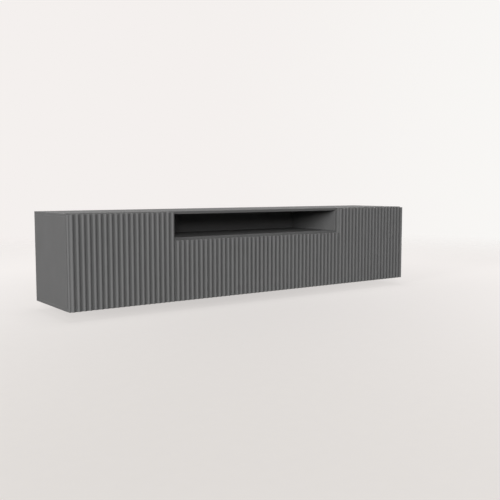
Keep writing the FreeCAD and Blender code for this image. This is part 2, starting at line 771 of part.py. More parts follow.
def make_hinge_arm(side, level):
    """The gooseneck arm with its screws, its eye on the hinge pin."""
    strip_u = (f"{PLATE_TOP} + Sizes.sheet_spacing", f"{PLATE_TOP} + Sizes.sheet_spacing + Sizes.arm_sheet")
    elbow_u = (ELBOW_U, f"{ELBOW_U} + Sizes.arm_sheet")
    neck_v = (f"{PIN_V} - Sizes.neck_drop", f"{PIN_V} - Sizes.neck_drop + Sizes.arm_sheet")
    elbow_v = "-Sizes.elbow_back - Sizes.arm_sheet"
    width = "Sizes.arm_width"
    eye_foot = hinge_point(side, PIN_U, PIN_V, f"{level} - {width} / 2")
    pieces = [
        cylinder(eye_foot, "+Z", EYE_RADIUS, width),
        hinge_box(side, (PIN_U, elbow_u[1]), neck_v, level, width),
        hinge_box(side, elbow_u, (elbow_v, neck_v[1]), level, width),
        hinge_box(side, (strip_u[0], elbow_u[1]), (elbow_v, "-Sizes.elbow_back"), level, width),
        hinge_box(side, strip_u, ("-Sizes.arm_rear", "-Sizes.elbow_back"), level, width),
    ]
    eye_hole = moved(eye_foot, "-Z", "1")
    tools = [cylinder(eye_hole, "+Z", "Sizes.pin_radius + Sizes.fit", f"{width} + 2")]
    screws = []
    for distance in ARM_SCREWS:
        point = hinge_point(side, strip_u[1], f"-{distance}", level)
        length = "Sizes.arm_sheet + Sizes.sheet_spacing + Sizes.plate_sheet - 1"
        screws.append(screw("arm_screw", point, outward(side), length))
        tools.append(clearance_hole("arm_screw", point, outward(side), "Sizes.arm_sheet + 1"))
    return cut(fuse(pieces), tools), screws


def make_hinge_plate(word, side, level):
    """The winged plate on the side panel that carries an arm, with its screws."""
    plate_u = ("Sizes.board", PLATE_TOP)
    core_v = ("-Sizes.arm_rear", "-Sizes.plate_front")
    core = hinge_box(side, plate_u, core_v, level, "Sizes.plate_core_height")
    wing_v = ("-Sizes.plate_screw_back - Sizes.plate_wing_width / 2",
              "-Sizes.plate_screw_back + Sizes.plate_wing_width / 2")
    wings = hinge_box(side, plate_u, wing_v, level, "Sizes.plate_wing_height")
    tools, screws = [], []
    for distance in ARM_SCREWS:
        point = hinge_point(side, PLATE_TOP, f"-{distance}", level)
        tools.append(clearance_hole("arm_screw", point, outward(side), "Sizes.plate_sheet + 1"))
    for sign in "-+":
        screw_level = f"{level} {sign} Sizes.plate_screw_spacing / 2"
        point = hinge_point(side, PLATE_TOP, "-Sizes.plate_screw_back", screw_level)
        length = "Sizes.plate_sheet + Sizes.screw_bite"
        screws.append(screw("hinge_screw", point, outward(side), length))
        tools.append(clearance_hole("hinge_screw", point, outward(side), "Sizes.plate_sheet + 1"))
        foot = moved(point, outward(side), "Sizes.plate_sheet")
        bore(f"{word}_side_panel", foot, outward(side), screw_hole("hinge_screw"), BITE_HOLE)
    return cut(fuse([core, wings]), tools), screws


def make_hinges():
    """Two single-pin cup hinges on each door."""
    arms, plates, arm_screws, plate_screws = [], [], [], []
    for word, side in SIDES.items():
        cups, pins, cup_screws = [], [], []
        for level in ("Sizes.hinge_inset", f"({DOOR_HEIGHT} - Sizes.hinge_inset)"):
            cup, pin, screws = make_hinge_cup(word, side, level)
            cups.append(cup)
            pins.append(pin)
            cup_screws += screws
            arm, screws = make_hinge_arm(side, level)
            arms.append(arm)
            arm_screws += screws
            plate, screws = make_hinge_plate(word, side, level)
            plates.append(plate)
            plate_screws += screws
        add_group(f"{word}_hinge_cups", cups)
        add_group(f"{word}_hinge_pins", pins)
        add_group(f"{word}_cup_screws", cup_screws)
    add_group("hinge_arms", arms)
    add_group("hinge_plates", plates)
    add_group("hinge_arm_screws", arm_screws)
    add_group("hinge_plate_screws", plate_screws)


# Push latches ---------------------------------------------------------------------------

def push_latch(divider, wall_x, into_bay, level, screws):
    """A latch housing on a divider's face, with its sprung plunger."""
    x_middle = f"{wall_x} {into_bay[0]} Sizes.latch_width / 2"
    z_low = f"{level} - Sizes.latch_height / 2"
    body = box(x_middle, EDGE, z_low, "Sizes.latch_width", "Sizes.latch_length", "Sizes.latch_height")
    mouth = (x_middle, EDGE, level)
    start = moved(mouth, "-Y", "1")
    tools = [cylinder(start, "+Y", "Sizes.plunger_radius + Sizes.fit", "Sizes.latch_bore + 1")]
    tip = moved(mouth, "-Y", "Sizes.front_gap - Sizes.pad_sheet - Sizes.gap")
    plunger = cylinder(tip, "+Y", "Sizes.plunger_radius", "Sizes.plunger_length")
    into_divider = opposite(into_bay)
    screw_length = "Sizes.latch_width + Sizes.screw_bite"
    front_screw = ("Sizes.latch_screw_front", "Sizes.latch_screw_raise")
    rear_screw = ("(Sizes.latch_length - Sizes.latch_screw_rear)", "0")
    for distance, rise in (front_screw, rear_screw):
        foot = (wall_x, f"{EDGE} + {distance}", f"{level} + {rise}")
        top = moved(foot, into_bay, "Sizes.latch_width")
        screws.append(screw("latch_screw", top, into_divider, screw_length))
        tools.append(clearance_hole("latch_screw", top, into_divider, "Sizes.latch_width + 1"))
        bore(divider, foot, into_divider, screw_hole("latch_screw"), BITE_HOLE)
    return cut(body, tools), plunger, x_middle


def latch_pad(x_middle, level):
    """A round pad on the back of a front, where a plunger meets it."""
    return cylinder((x_middle, FRONT_REAR, level), "+Y", "Sizes.pad_radius", "Sizes.pad_sheet")


def make_latches():
    """Push latches for the doors and the drawer, with the pads that they push on."""
    housings, screws, drawer_pads = [], [], []
    door_level = f"({CEILING} - Sizes.latch_drop)"
    drawer_level = f"({SHELF_UNDER} - Sizes.drawer_latch_drop)"
    for word, side in SIDES.items():
        divider = f"{word}_divider"
        bay_wall = mirrored_x(side, DIVIDER_BAY)
        housing, plunger, x_middle = push_latch(divider, bay_wall, outward(side), door_level, screws)
        housings.append(housing)
        add(f"{word}_door_plunger", plunger)
        add(f"{word}_door_pad", latch_pad(x_middle, door_level))
        drawer_wall = mirrored_x(side, DIVIDER_DRAWER)
        housing, plunger, x_middle = push_latch(divider, drawer_wall, inward(side), drawer_level, screws)
        housings.append(housing)
        add(f"{word}_drawer_plunger", plunger)
        drawer_pads.append(latch_pad(x_middle, drawer_level))
    add_group("latch_housings", housings)
    add_group("latch_screws", screws)
    add_group("drawer_pads", drawer_pads)


# Drawer ---------------------------------------------------------------------------------

DRAWER_HALF = f"({DIVIDER_DRAWER} - Sizes.runner_width)"
DRAWER_FLOOR = f"({BOARD} + Sizes.drawer_lift)"
DRAWER_HEIGHT = f"({SHELF_UNDER} - {DRAWER_FLOOR} - Sizes.drawer_head_room)"
RUNNER_START = f"({EDGE} + Sizes.runner_setback)"
RUNNER_ROOM = f"({BACK_FACE} - {RUNNER_START} - Sizes.runner_rear_room)"
RUNNER_LENGTH = f"(Sizes.runner_step * floor({RUNNER_ROOM} / Sizes.runner_step))"


def make_drawer_box():
    """Sides, inner front, back and a bottom held in grooves."""
    board = "Sizes.drawer_board"
    inner_half = f"({DRAWER_HALF} - {board})"
    rear = f"({FRONT_REAR} + {RUNNER_LENGTH} - {board})"
    add("drawer_inner_front", box("0", FRONT_REAR, DRAWER_FLOOR, f"2 * {inner_half}", board, DRAWER_HEIGHT))
    add("drawer_back", box("0", rear, DRAWER_FLOOR, f"2 * {inner_half}", board, DRAWER_HEIGHT))
    tongue = "(Sizes.groove_depth - Sizes.groove_play)"
    level = f"({DRAWER_FLOOR} + Sizes.drawer_bottom_rise)"
    panel_y = f"({FRONT_REAR} + {board} - {tongue})"
    panel_length = f"({RUNNER_LENGTH} - 2 * {board} + 2 * {tongue})"
    panel_width = f"(2 * {inner_half} + 2 * {tongue})"
    add("drawer_bottom", box("0", panel_y, level, panel_width, panel_length, "Sizes.drawer_bottom_sheet"))
    groove_y = f"({FRONT_REAR} + {board} - Sizes.groove_depth)"
    groove_length = f"({RUNNER_LENGTH} - 2 * {board} + 2 * Sizes.groove_depth)"
    groove_level = f"({level} - Sizes.groove_play / 2)"
    groove_height = "(Sizes.drawer_bottom_sheet + Sizes.groove_play)"
    for word, side in SIDES.items():
        middle = mirrored_x(side, f"{DRAWER_HALF} - {board} / 2")
        add(f"drawer_{word}_side", box(middle, FRONT_REAR, DRAWER_FLOOR, board, RUNNER_LENGTH, DRAWER_HEIGHT))
        groove_x = mirrored_x(side, f"{inner_half} + Sizes.groove_depth / 2")
        groove = box(groove_x, groove_y, groove_level, "Sizes.groove_depth", groove_length, groove_height)
        carve(f"drawer_{word}_side", groove)
    for name, start in (("drawer_inner_front", groove_y), ("drawer_back", rear)):
        groove = box("0", start, groove_level, f"2 * {inner_half} + 2", "Sizes.groove_depth", groove_height)
        carve(name, groove)


def make_drawer_screws():
    """Screws that hold the drawer box together and its fluted front on."""
    board = "Sizes.drawer_board"
    inset = "Sizes.drawer_screw_inset"
    levels = [f"({DRAWER_FLOOR} + {inset})", f"({DRAWER_FLOOR} + {DRAWER_HEIGHT} - {inset})"]
    ends = (("drawer_inner_front", f"{FRONT_REAR} + {board} / 2"),
            ("drawer_back", f"{FRONT_REAR} + {RUNNER_LENGTH} - {board} / 2"))
    box_screws = []
    length = f"{board} + Sizes.drawer_screw_bite"
    bite_hole = "Sizes.drawer_screw_bite + Sizes.gap"
    for word, side in SIDES.items():
        inward_run = inward(side)
        for holder, y in ends:
            for level in levels:
                point = (mirrored_x(side, DRAWER_HALF), y, level)
                box_screws.append(screw("board_screw", point, inward_run, length))
                bore(f"drawer_{word}_side", point, inward_run, screw_hole("board_screw"), f"{board} + 1")
                joint = moved(point, inward_run, board)
                bore(holder, joint, inward_run, screw_hole("board_screw"), bite_hole)
    front_screws = []
    for column in (-1, 0, 1):
        for level in levels:
            x = f"{column} * ({DRAWER_HALF} - Sizes.front_screw_inset)"
            inside = (x, f"{FRONT_REAR} + {board}", level)
            front_screws.append(screw("front_screw", inside, "-Y", f"{board} + Sizes.front_screw_bite"))
            bore("drawer_inner_front", inside, "-Y", screw_hole("front_screw"), f"{board} + 1")
            face = moved(inside, "-Y", board)
            bore("drawer_front", face, "-Y", screw_hole("front_screw"), "Sizes.front_screw_bite + Sizes.gap")
    add_group("drawer_box_screws", box_screws)
    add_group("drawer_front_screws", front_screws)


# Ball-bearing runners -------------------------------------------------------------------

RUNNER_MIDDLE = f"({BOARD} + Sizes.runner_level)"
HALF_RUNNER = "(Sizes.runner_height / 2)"
RACE = "(2 * Sizes.ball_radius + 2 * Sizes.fit)"
SHEET = "Sizes.runner_sheet"
OUTER_RACE = f"({HALF_RUNNER} - {SHEET})"
MIDDLE_HALF = f"({OUTER_RACE} - {RACE})"
MIDDLE_RACE = f"({MIDDLE_HALF} - {SHEET})"
INNER_HALF = f"({MIDDLE_RACE} - {RACE})"
CAGE_LENGTH = f"({RUNNER_LENGTH} / 2 - Sizes.cage_spare)"


def runner_block(side, w_range, y, run, half):
    """A block between two distances from a divider, centred on the runner's level."""
    low, high = w_range
    middle = mirrored_x(side, f"{DIVIDER_DRAWER} - (({low}) + ({high})) / 2")
    return box(middle, y, f"{RUNNER_MIDDLE} - {half}", f"({high}) - ({low})", run, f"2 * {half}")


def channel(side, outline_w, hollow_w, half_height, flange, start, length):
    """The outline of a channel along y and the hollow that is cut out of it."""
    outline = runner_block(side, outline_w, start, length, half_height)
    clear_half = f"({half_height} - {flange})"
    hollow = runner_block(side, hollow_w, f"{start} - 1", f"{length} + 2", clear_half)
    return outline, hollow


def member(side, outline_w, hollow_w, half_height):
    """The outline and hollow of one runner member."""
    return channel(side, outline_w, hollow_w, half_height, SHEET, RUNNER_START, RUNNER_LENGTH)


def runner_screws(side, w, direction):
    """Three screws along one runner member and the holes that they need in it."""
    screws, holes, feet = [], [], []
    inset = "Sizes.runner_screw_inset"
    for share in (inset, f"{RUNNER_LENGTH} / 2", f"{RUNNER_LENGTH} - {inset}"):
        point = (mirrored_x(side, f"{DIVIDER_DRAWER} - ({w})"), f"{RUNNER_START} + {share}", RUNNER_MIDDLE)
        screws.append(screw("runner_screw", point, direction, f"{SHEET} + Sizes.screw_bite"))
        start = moved(point, opposite(direction), "Sizes.fit")
        holes.append(cylinder(start, direction, screw_hole("runner_screw"), f"{SHEET} + 1"))
        feet.append(moved(point, direction, SHEET))
    return screws, holes, feet


def caged_balls(side, ball_line, race_middle, cage_w):
    """A cage strip with ball holes in both flanges, and the balls in them."""
    start = f"({RUNNER_START} + ({RUNNER_LENGTH} - {CAGE_LENGTH}) / 2)"
    low, high = cage_w
    hollow_w = (f"{low} + Sizes.cage_sheet", f"{high} + 1")
    half = f"({race_middle} + Sizes.cage_flange / 2)"
    outline, hollow = channel(side, cage_w, hollow_w, half, "Sizes.cage_flange", start, CAGE_LENGTH)
    balls, tools = [], [hollow]
    ball_count = 5
    spacing = f"({CAGE_LENGTH} - 2 * Sizes.cage_end) / {ball_count - 1}"
    hole_length = "(2 * Sizes.cage_flange)"
    x = mirrored_x(side, f"{DIVIDER_DRAWER} - {ball_line}")
    for index in range(ball_count):
        y = f"{start} + Sizes.cage_end + {index} * {spacing}"
        for sign in "+-":
            centre = (x, y, f"{RUNNER_MIDDLE} {sign} {race_middle}")
            balls.append(sphere(centre, "Sizes.ball_radius"))
            foot = moved(centre, "-Z", f"{hole_length} / 2")
            tools.append(cylinder(foot, "+Z", "Sizes.ball_radius + Sizes.ball_play", hole_length))
    return cut(outline, tools), balls


def make_channels():
    """The outer, middle and inner members of both runners and the screws that hold them."""
    outers, middles, inners = [], [], []
    outer_screws, inner_screws = [], []
    inner_web = f"(Sizes.runner_width - {SHEET})"
    outer_w = ("0", "Sizes.outer_reach")
    outer_hollow_w = (SHEET, "Sizes.outer_reach + 1")
    middle_w = ("Sizes.middle_start", "Sizes.middle_reach")
    middle_hollow_w = (f"Sizes.middle_start + {SHEET}", "Sizes.middle_reach + 1")
    inner_w = ("Sizes.inner_start", "Sizes.runner_width")
    inner_hollow_w = ("Sizes.inner_start - 1", inner_web)
    for word, side in SIDES.items():
        screws, holes, feet = runner_screws(side, SHEET, outward(side))
        outer_screws += screws
        for foot in feet:
            bore(f"{word}_divider", foot, outward(side), screw_hole("runner_screw"), BITE_HOLE)
        outline, hollow = member(side, outer_w, outer_hollow_w, HALF_RUNNER)
        outers.append(cut(outline, [hollow] + holes))
        outline, hollow = member(side, middle_w, middle_hollow_w, MIDDLE_HALF)
        middles.append(cut(outline, [hollow]))
        screws, holes, feet = runner_screws(side, inner_web, inward(side))
        inner_screws += screws
        for foot in feet:
            bore(f"drawer_{word}_side", foot, inward(side), screw_hole("runner_screw"), BITE_HOLE)
        outline, hollow = member(side, inner_w, inner_hollow_w, INNER_HALF)
        inners.append(cut(outline, [hollow] + holes))
    add_group("runner_outer_members", outers)
    add_group("runner_middle_members", middles)
    add_group("runner_inner_members", inners)
    add_group("runner_outer_screws", outer_screws)
    add_group("runner_inner_screws", inner_screws)


def make_ball_cages():
    """The two caged ball rows of each runner."""
    rows = [
        ("outer", "Sizes.outer_ball_line", f"({OUTER_RACE} - {RACE} / 2)",
         ("Sizes.outer_cage_start", "Sizes.outer_cage_reach")),
        ("inner", "Sizes.inner_ball_line", f"({MIDDLE_RACE} - {RACE} / 2)",
         ("Sizes.inner_cage_start", "Sizes.inner_cage_reach")),
    ]
    for word, ball_line, race_middle, cage_w in rows:
        cages, balls = [], []
        for side in SIDES.values():
            cage, cage_balls = caged_balls(side, ball_line, race_middle, cage_w)
            cages.append(cage)
            balls += cage_balls
        add_group(f"{word}_ball_cages", cages)
        add_group(f"{word}_balls", balls)


# Wall rail and hangers ------------------------------------------------------------------

LIP_TOP = f"({CEILING} - Sizes.rail_lip_drop)"
LIP_FRONT = f"({WALL} - Sizes.rail_step)"
HOOK_LOW = f"({LIP_TOP} - Sizes.hook_overlap)"
RAIL_HOLE_SHARES = (0.9, 0.54, 0.18)


def make_wall_rail():
    """A stepped steel strip screwed to the wall, its upper lip clear of it."""
    rail_sheet = "Sizes.rail_sheet"
    length = f"(2 * ({SIDE_INSIDE} - Sizes.rail_end_gap))"
    lip_low = f"({LIP_TOP} - Sizes.rail_lip_height)"
    lip = box("0", LIP_FRONT, lip_low, length, rail_sheet, "Sizes.rail_lip_height")
    jog = box("0", LIP_FRONT, lip_low, length, "Sizes.rail_step", rail_sheet)
    foot_low = f"({lip_low} + {rail_sheet} - Sizes.rail_foot_height)"
    foot = box("0", f"{WALL} - {rail_sheet}", foot_low, length, rail_sheet, "Sizes.rail_foot_height")
    tools = []
    for share in RAIL_HOLE_SHARES:
        for side in SIDES.values():
            x = mirrored_x(side, f"{share} * {HALF}")
            point = (x, f"{WALL} - {rail_sheet} - 1", f"{LIP_TOP} - Sizes.rail_hole_drop")
            tools.append(cylinder(point, "+Y", "Sizes.rail_hole_radius", f"{rail_sheet} + 2"))
    add("wall_rail", cut(fuse([lip, jog, foot]), tools))


def make_hook(x_middle, hook_front, back_panel):
    """A hook plate that hangs over the rail's lip, and the slot that it slides in."""
    play = "Sizes.hook_play"
    hook_length = f"({WALL} - Sizes.hook_wall_gap - {hook_front})"
    plate = box(x_middle, hook_front, HOOK_LOW, "Sizes.hook_sheet", hook_length, "Sizes.hook_height")
    slot_front = f"{LIP_FRONT} - 4 * {play}"
    slot_depth = f"Sizes.rail_sheet + 8 * {play}"
    slot_height = f"Sizes.hook_overlap + {play} + 1"
    lip_slot = box(x_middle, slot_front, f"{HOOK_LOW} - 1", "Sizes.hook_sheet + 2", slot_depth, slot_height)
    guide = box(x_middle, f"{hook_front} - {play}", f"{HOOK_LOW} - {play}", f"Sizes.hook_sheet + 4 * {play}",
                "Sizes.hanger_depth", f"Sizes.hook_height + 2 * {play}")
    window_height = "Sizes.hook_height + 2 * Sizes.window_margin"
    window = box(x_middle, f"{BACK_FACE} - 1", f"{HOOK_LOW} - Sizes.window_margin", "Sizes.window_width",
                 "Sizes.back_thickness + 2", window_height)
    carve(back_panel, window)
    return cut(plate, [lip_slot]), guide


def make_hanger(x_middle, into_panel, panel, back_panel, groups):
    """One concealed hanger: housing, hook over the rail, adjusters and fixing screws."""
    housings, hooks, adjusters, screws = groups
    front = f"({BACK_FACE} - Sizes.hanger_rear_gap - Sizes.hanger_depth)"
    bottom = f"({LIP_TOP} + Sizes.hanger_rise - Sizes.hanger_height)"
    body = box(x_middle, front, bottom, "Sizes.hanger_width", "Sizes.hanger_depth", "Sizes.hanger_height")
    hook, guide = make_hook(x_middle, f"({front} + Sizes.hook_inset)", back_panel)
    hooks.append(hook)
    tools = [guide]
    for rise in ("Sizes.adjuster_inset", "(Sizes.hook_height - Sizes.adjuster_inset)"):
        point = (x_middle, front, f"{HOOK_LOW} + {rise}")
        adjusters.append(screw("adjuster", point, "+Y", "Sizes.hook_inset - Sizes.hook_play"))
        tools.append(clearance_hole("adjuster", point, "+Y", "Sizes.hook_inset + 1"))
    for distance in ("Sizes.hanger_screw_low", "Sizes.hanger_screw_high"):
        foot = (x_middle, f"{front} + Sizes.hanger_depth / 2", f"{bottom} + {distance}")
        head = moved(foot, opposite(into_panel), "Sizes.hanger_width / 2")
        screws.append(screw("board_screw", head, into_panel, "Sizes.hanger_width + Sizes.screw_bite"))
        tools.append(clearance_hole("board_screw", head, into_panel, "Sizes.hanger_width + 1"))
        face = moved(head, into_panel, "Sizes.hanger_width")
        bore(panel, face, into_panel, screw_hole("board_screw"), BITE_HOLE)
    housings.append(cut(body, tools))


def make_hangers():
    """Two hangers in each door bay, one on the side panel and one on the divider."""
    groups = ([], [], [], [])
    for word, side in SIDES.items():
        x_side = mirrored_x(side, f"{SIDE_INSIDE} - Sizes.hanger_width / 2")
        make_hanger(x_side, outward(side), f"{word}_side_panel", f"{word}_back_panel", groups)
        x_divider = mirrored_x(side, f"{DIVIDER_BAY} + Sizes.hanger_width / 2")
        make_hanger(x_divider, inward(side), f"{word}_divider", f"{word}_back_panel", groups)
    for name, items in zip(("hanger_housings", "hanger_hooks", "hanger_adjusters", "hanger_screws"), groups):
        add_group(name, items)


# Build, check and write -----------------------------------------------------------------

def finish():
    """Cut the holes, name the sub-parts, check every object and write the STEP files."""
    for name, tools in cutters.items():
        sub_parts[name] = cut(sub_parts[name], tools)
    for name, item in sub_parts.items():
        item.Label = name
    doc.recompute()
    failed = [item.Name for item in doc.Objects if {"Invalid", "Error"} & set(item.State)]
    if failed:
        raise RuntimeError(f"objects that failed: {failed}")
    os.makedirs("parts", exist_ok=True)
    for name, item in sub_parts.items():
        shape = item.Shape
        if shape.isNull() or not shape.isValid():
            raise RuntimeError(f"{name} has no valid shape")
        shape.exportStep(f"parts/{name}.step")
        print(name, len(shape.Solids), round(shape.Volume))


make_carcass()
make_back_panels()
make_back_screws()
make_fittings()
make_shelf_pins()
make_fronts()
make_hinges()
make_latches()
make_drawer_box()
make_drawer_screws()
make_channels()
make_ball_cages()
make_wall_rail()
make_hangers()
finish()
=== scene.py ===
import json
import math
from collections import namedtuple

import bmesh
import bpy
from bpy.props import FloatProperty, FloatVectorProperty, PointerProperty
from mathutils import Matrix, Vector


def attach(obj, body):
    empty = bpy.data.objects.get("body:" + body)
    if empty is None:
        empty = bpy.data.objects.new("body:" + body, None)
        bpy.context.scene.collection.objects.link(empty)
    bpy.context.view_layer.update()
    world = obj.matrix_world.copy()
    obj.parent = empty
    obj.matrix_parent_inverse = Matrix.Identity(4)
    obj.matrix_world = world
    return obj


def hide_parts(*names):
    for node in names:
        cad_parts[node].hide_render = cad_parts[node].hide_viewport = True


bl_info = {
    "name": "Floating media console",
    "version": (1, 0, 0),
    "blender": (4, 5, 0),
    "location": "View3D > Sidebar > Console",
    "description": "Finishes and fittings of a wall-hung fluted media console, and its stage",
    "category": "Object",
}

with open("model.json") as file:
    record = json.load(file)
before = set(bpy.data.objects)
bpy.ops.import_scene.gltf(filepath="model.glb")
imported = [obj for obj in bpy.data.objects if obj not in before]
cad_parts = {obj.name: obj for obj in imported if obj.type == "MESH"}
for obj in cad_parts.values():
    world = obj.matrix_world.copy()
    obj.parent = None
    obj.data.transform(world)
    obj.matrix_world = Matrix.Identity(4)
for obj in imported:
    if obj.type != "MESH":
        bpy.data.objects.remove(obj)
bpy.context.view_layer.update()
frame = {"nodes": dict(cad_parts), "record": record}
SLOT_COLOURS = {row["slot"]: tuple(row["base_color"]) for row in frame["record"]["materials"]}

MM = 0.001
TOUCH = 0.002 * MM  # vertices closer than this are one
NEAR = 0.05 * MM  # vertices closer than this to a plane lie in it
FLAT = math.radians(0.5)  # facets closer in angle than this are one face
SHARP = math.radians(32.0)  # edges that turn by more than this stay sharp
WEAR = "wear"  # attribute that marks the eased edges


# Mesh helpers ---------------------------------------------------------------------------

def whole_copy(node):
    """A bmesh of a CAD node with its doubles merged and its flat areas made whole."""
    shape = bmesh.new()
    shape.from_mesh(frame["nodes"][node].data)
    bmesh.ops.remove_doubles(shape, verts=shape.verts, dist=TOUCH)
    bmesh.ops.dissolve_limit(shape, angle_limit=FLAT, verts=shape.verts, edges=shape.edges)
    return shape


def islands(shape):
    """The separate solids in a bmesh, each as a list of its vertices."""
    shape.verts.ensure_lookup_table()
    seen, found = set(), []
    for start in shape.verts:
        if start in seen:
            continue
        seen.add(start)
        part, front = [], [start]
        while front:
            vert = front.pop()
            part.append(vert)
            for edge in vert.link_edges:
                other = edge.other_vert(vert)
                if other not in seen:
                    seen.add(other)
                    front.append(other)
        found.append(part)
    return found


def corners(verts):
    """Lowest and highest corner of some vertices."""
    low = Vector([min(vert.co[axis] for vert in verts) for axis in range(3)])
    high = Vector([max(vert.co[axis] for vert in verts) for axis in range(3)])
    return low, high


def box_edges(shape, verts):
    """The edges of a solid that lie along the edges of its own box."""
    bounds = corners(verts)

    def walls(vert):
        return {
            (axis, end) for axis in range(3) for end, bound in enumerate(bounds)
            if abs(vert.co[axis] - bound[axis]) < NEAR
        }

    inside = set(verts)
    return [
        edge for edge in shape.edges
        if edge.verts[0] in inside and len(edge.link_faces) == 2
        and len(walls(edge.verts[0]) & walls(edge.verts[1])) >= 2
    ]


def sharp_edges(shape, verts):
    """The outward sharp edges of a solid."""
    inside = set(verts)
    return [
        edge for edge in shape.edges
        if edge.verts[0] in inside and len(edge.link_faces) == 2 and edge.is_convex
        and edge.calc_face_angle() > SHARP
    ]


def end_rims(shape, verts):
    """The outward sharp edges round the top and bottom faces of a solid."""
    low, high = corners(verts)
    return [
        edge for edge in sharp_edges(shape, verts)
        if any(
            all(abs(vert.co.z - level) < NEAR for vert in edge.verts)
            for level in (low.z, high.z))
    ]


def ease(shape, choose, width, steps):
    """Round chosen edges of every solid a little, and mark the rounding as worn."""
    layer = shape.loops.layers.float.get(WEAR) or shape.loops.layers.float.new(WEAR)
    for part in islands(shape):
        edges = choose(shape, part)
        if not edges:
            continue
        made = bmesh.ops.bevel(
            shape, geom=edges, offset=width, offset_type="OFFSET", affect="EDGES",
            segments=steps, profile=0.5, material=-1, clamp_overlap=True)
        for face in made["faces"]:
            for loop in face.loops:
                loop[layer] = 1.0


def body_of(node):
    """The body that a CAD node rides on."""
    return next(
        body for body, names in frame["record"]["behaviour"]["bodies"].items() if node in names)


def make_piece(name, shape, slot, node):
    """Turn a bmesh into a piece that stands for a CAD node and rides on its body."""
    for face in shape.faces:
        face.smooth = True
    for edge in shape.edges:
        edge.smooth = len(edge.link_faces) == 2 and edge.calc_face_angle() < SHARP
    mesh = bpy.data.meshes.new(name)
    shape.to_mesh(mesh)
    shape.free()
    if "custom_normal" in mesh.attributes:
        mesh.attributes.remove(mesh.attributes["custom_normal"])
    mesh.materials.clear()
    mesh.materials.append(finish_for(slot))
    piece = bpy.data.objects.new(name, mesh)
    bpy.context.scene.collection.objects.link(piece)
    weigh = piece.modifiers.new("shading", "WEIGHTED_NORMAL")
    weigh.keep_sharp = True
    weigh.weight = 100
    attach(piece, body_of(node))
    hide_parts(node)


def eased_pieces(pieces, slot, choose, width, steps=2):
    """Pieces with eased edges, from a table of their names and CAD nodes."""
    for name, node in pieces.items():
        shape = whole_copy(node)
        ease(shape, choose, width, steps)
        make_piece(name, shape, slot, node)


def refinish(*names):
    """Give CAD nodes that keep their shape the finish of their slot."""
    for name in names:
        data = frame["nodes"][name].data
        slot = data.materials[0].name.split(".")[0]
        data.materials.clear()
        data.materials.append(finish_for(slot))


# Node trees -----------------------------------------------------------------------------

class NodeTree:
    """An emptied node tree with short calls for the nodes that the finishes share."""

    def __init__(self, tree):
        self.tree = tree
        self.tree.nodes.clear()

    def feed(self, target, value):
        """Set a socket to a value or link it to an output."""
        if isinstance(value, bpy.types.NodeSocket):
            self.tree.links.new(value, target)
        else:
            target.default_value = value

    def node(self, kind, inputs=None, **settings):
        """A node with its settings made and some of its sockets fed."""
        item = self.tree.nodes.new(kind)
        for key, value in settings.items():
            setattr(item, key, value)
        for socket, value in (inputs or {}).items():
            self.feed(item.inputs[socket], value)
        return item

    def place(self, scale=(1.0, 1.0, 1.0)):
        """Object coordinates, stretched along the axes."""
        coordinates = self.node("ShaderNodeTexCoord").outputs["Object"]
        mapping = self.node("ShaderNodeMapping", {"Vector": coordinates, "Scale": scale})
        return mapping.outputs["Vector"]

    def noise(self, place, scale, detail, roughness=0.5):
        """Cloudy noise, with its scale in features per metre."""
        item = self.node("ShaderNodeTexNoise", {
            "Vector": place, "Scale": scale, "Detail": detail, "Roughness": roughness})
        return item.outputs["Fac"]

    def spots(self, place, scale):
        """Distance to the nearest of many scattered points."""
        item = self.node("ShaderNodeTexVoronoi", {"Vector": place, "Scale": scale})
        return item.outputs["Distance"]

    def stripes(self, place, scale, direction, distortion):
        """Soft parallel bands across one axis."""
        item = self.node(
            "ShaderNodeTexWave", {"Vector": place, "Scale": scale, "Distortion": distortion},
            bands_direction=direction)
        return item.outputs["Fac"]

    def away(self, place, point):
        """Distance from a point."""
        item = self.node("ShaderNodeVectorMath", {0: place, 1: point}, operation="DISTANCE")
        return item.outputs["Value"]

    def spread(self, value, low, high, start=0.3, end=0.7, smooth=False):
        """A value between start and end turned into one between low and high."""
        item = self.node(
            "ShaderNodeMapRange", {
                "Value": value, "From Min": start, "From Max": end, "To Min": low,
                "To Max": high},
            interpolation_type="SMOOTHSTEP" if smooth else "LINEAR")
        return item.outputs["Result"]

    def maths(self, operation, first, second):
        """One step of arithmetic on two values."""
        item = self.node("ShaderNodeMath", {0: first, 1: second}, operation=operation)
        return item.outputs["Value"]

    def blend(self, share, first, second):
        """A colour between two others."""
        first, second = (
            value if isinstance(value, bpy.types.NodeSocket) else (*value, 1.0)
            for value in (first, second))
        item = self.node("ShaderNodeMix", {0: share, 6: first, 7: second}, data_type="RGBA")
        return item.outputs[2]

    def mix(self, share, first, second):
        """A shader between two others."""
        return self.node("ShaderNodeMixShader", {0: share, 1: first, 2: second}).outputs[0]

    def shaded(self, colour, *shares):
        """A colour made lighter or darker by several values together."""
        share = shares[0]
        for other in shares[1:]:
            share = self.maths("MULTIPLY", share, other)
        item = self.node(
            "ShaderNodeVectorMath", {0: colour, "Scale": share}, operation="SCALE")
        return item.outputs["Vector"]

    def bump(self, height, depth, strength, normal=None):
        """The surface's slope from a height, on top of another slope if one is given."""
        inputs = {"Height": height, "Distance": depth, "Strength": strength}
        if normal is not None:
            inputs["Normal"] = normal
        return self.node("ShaderNodeBump", inputs).outputs["Normal"]

    def seen(self):
        """1 for rays that show a surface: straight, mirrored or through glass."""
        path = self.node("ShaderNodeLightPath")
        share = path.outputs["Is Camera Ray"]
        for kind in ("Is Glossy Ray", "Is Transmission Ray"):
            share = self.maths("MAXIMUM", share, path.outputs[kind])
        return share


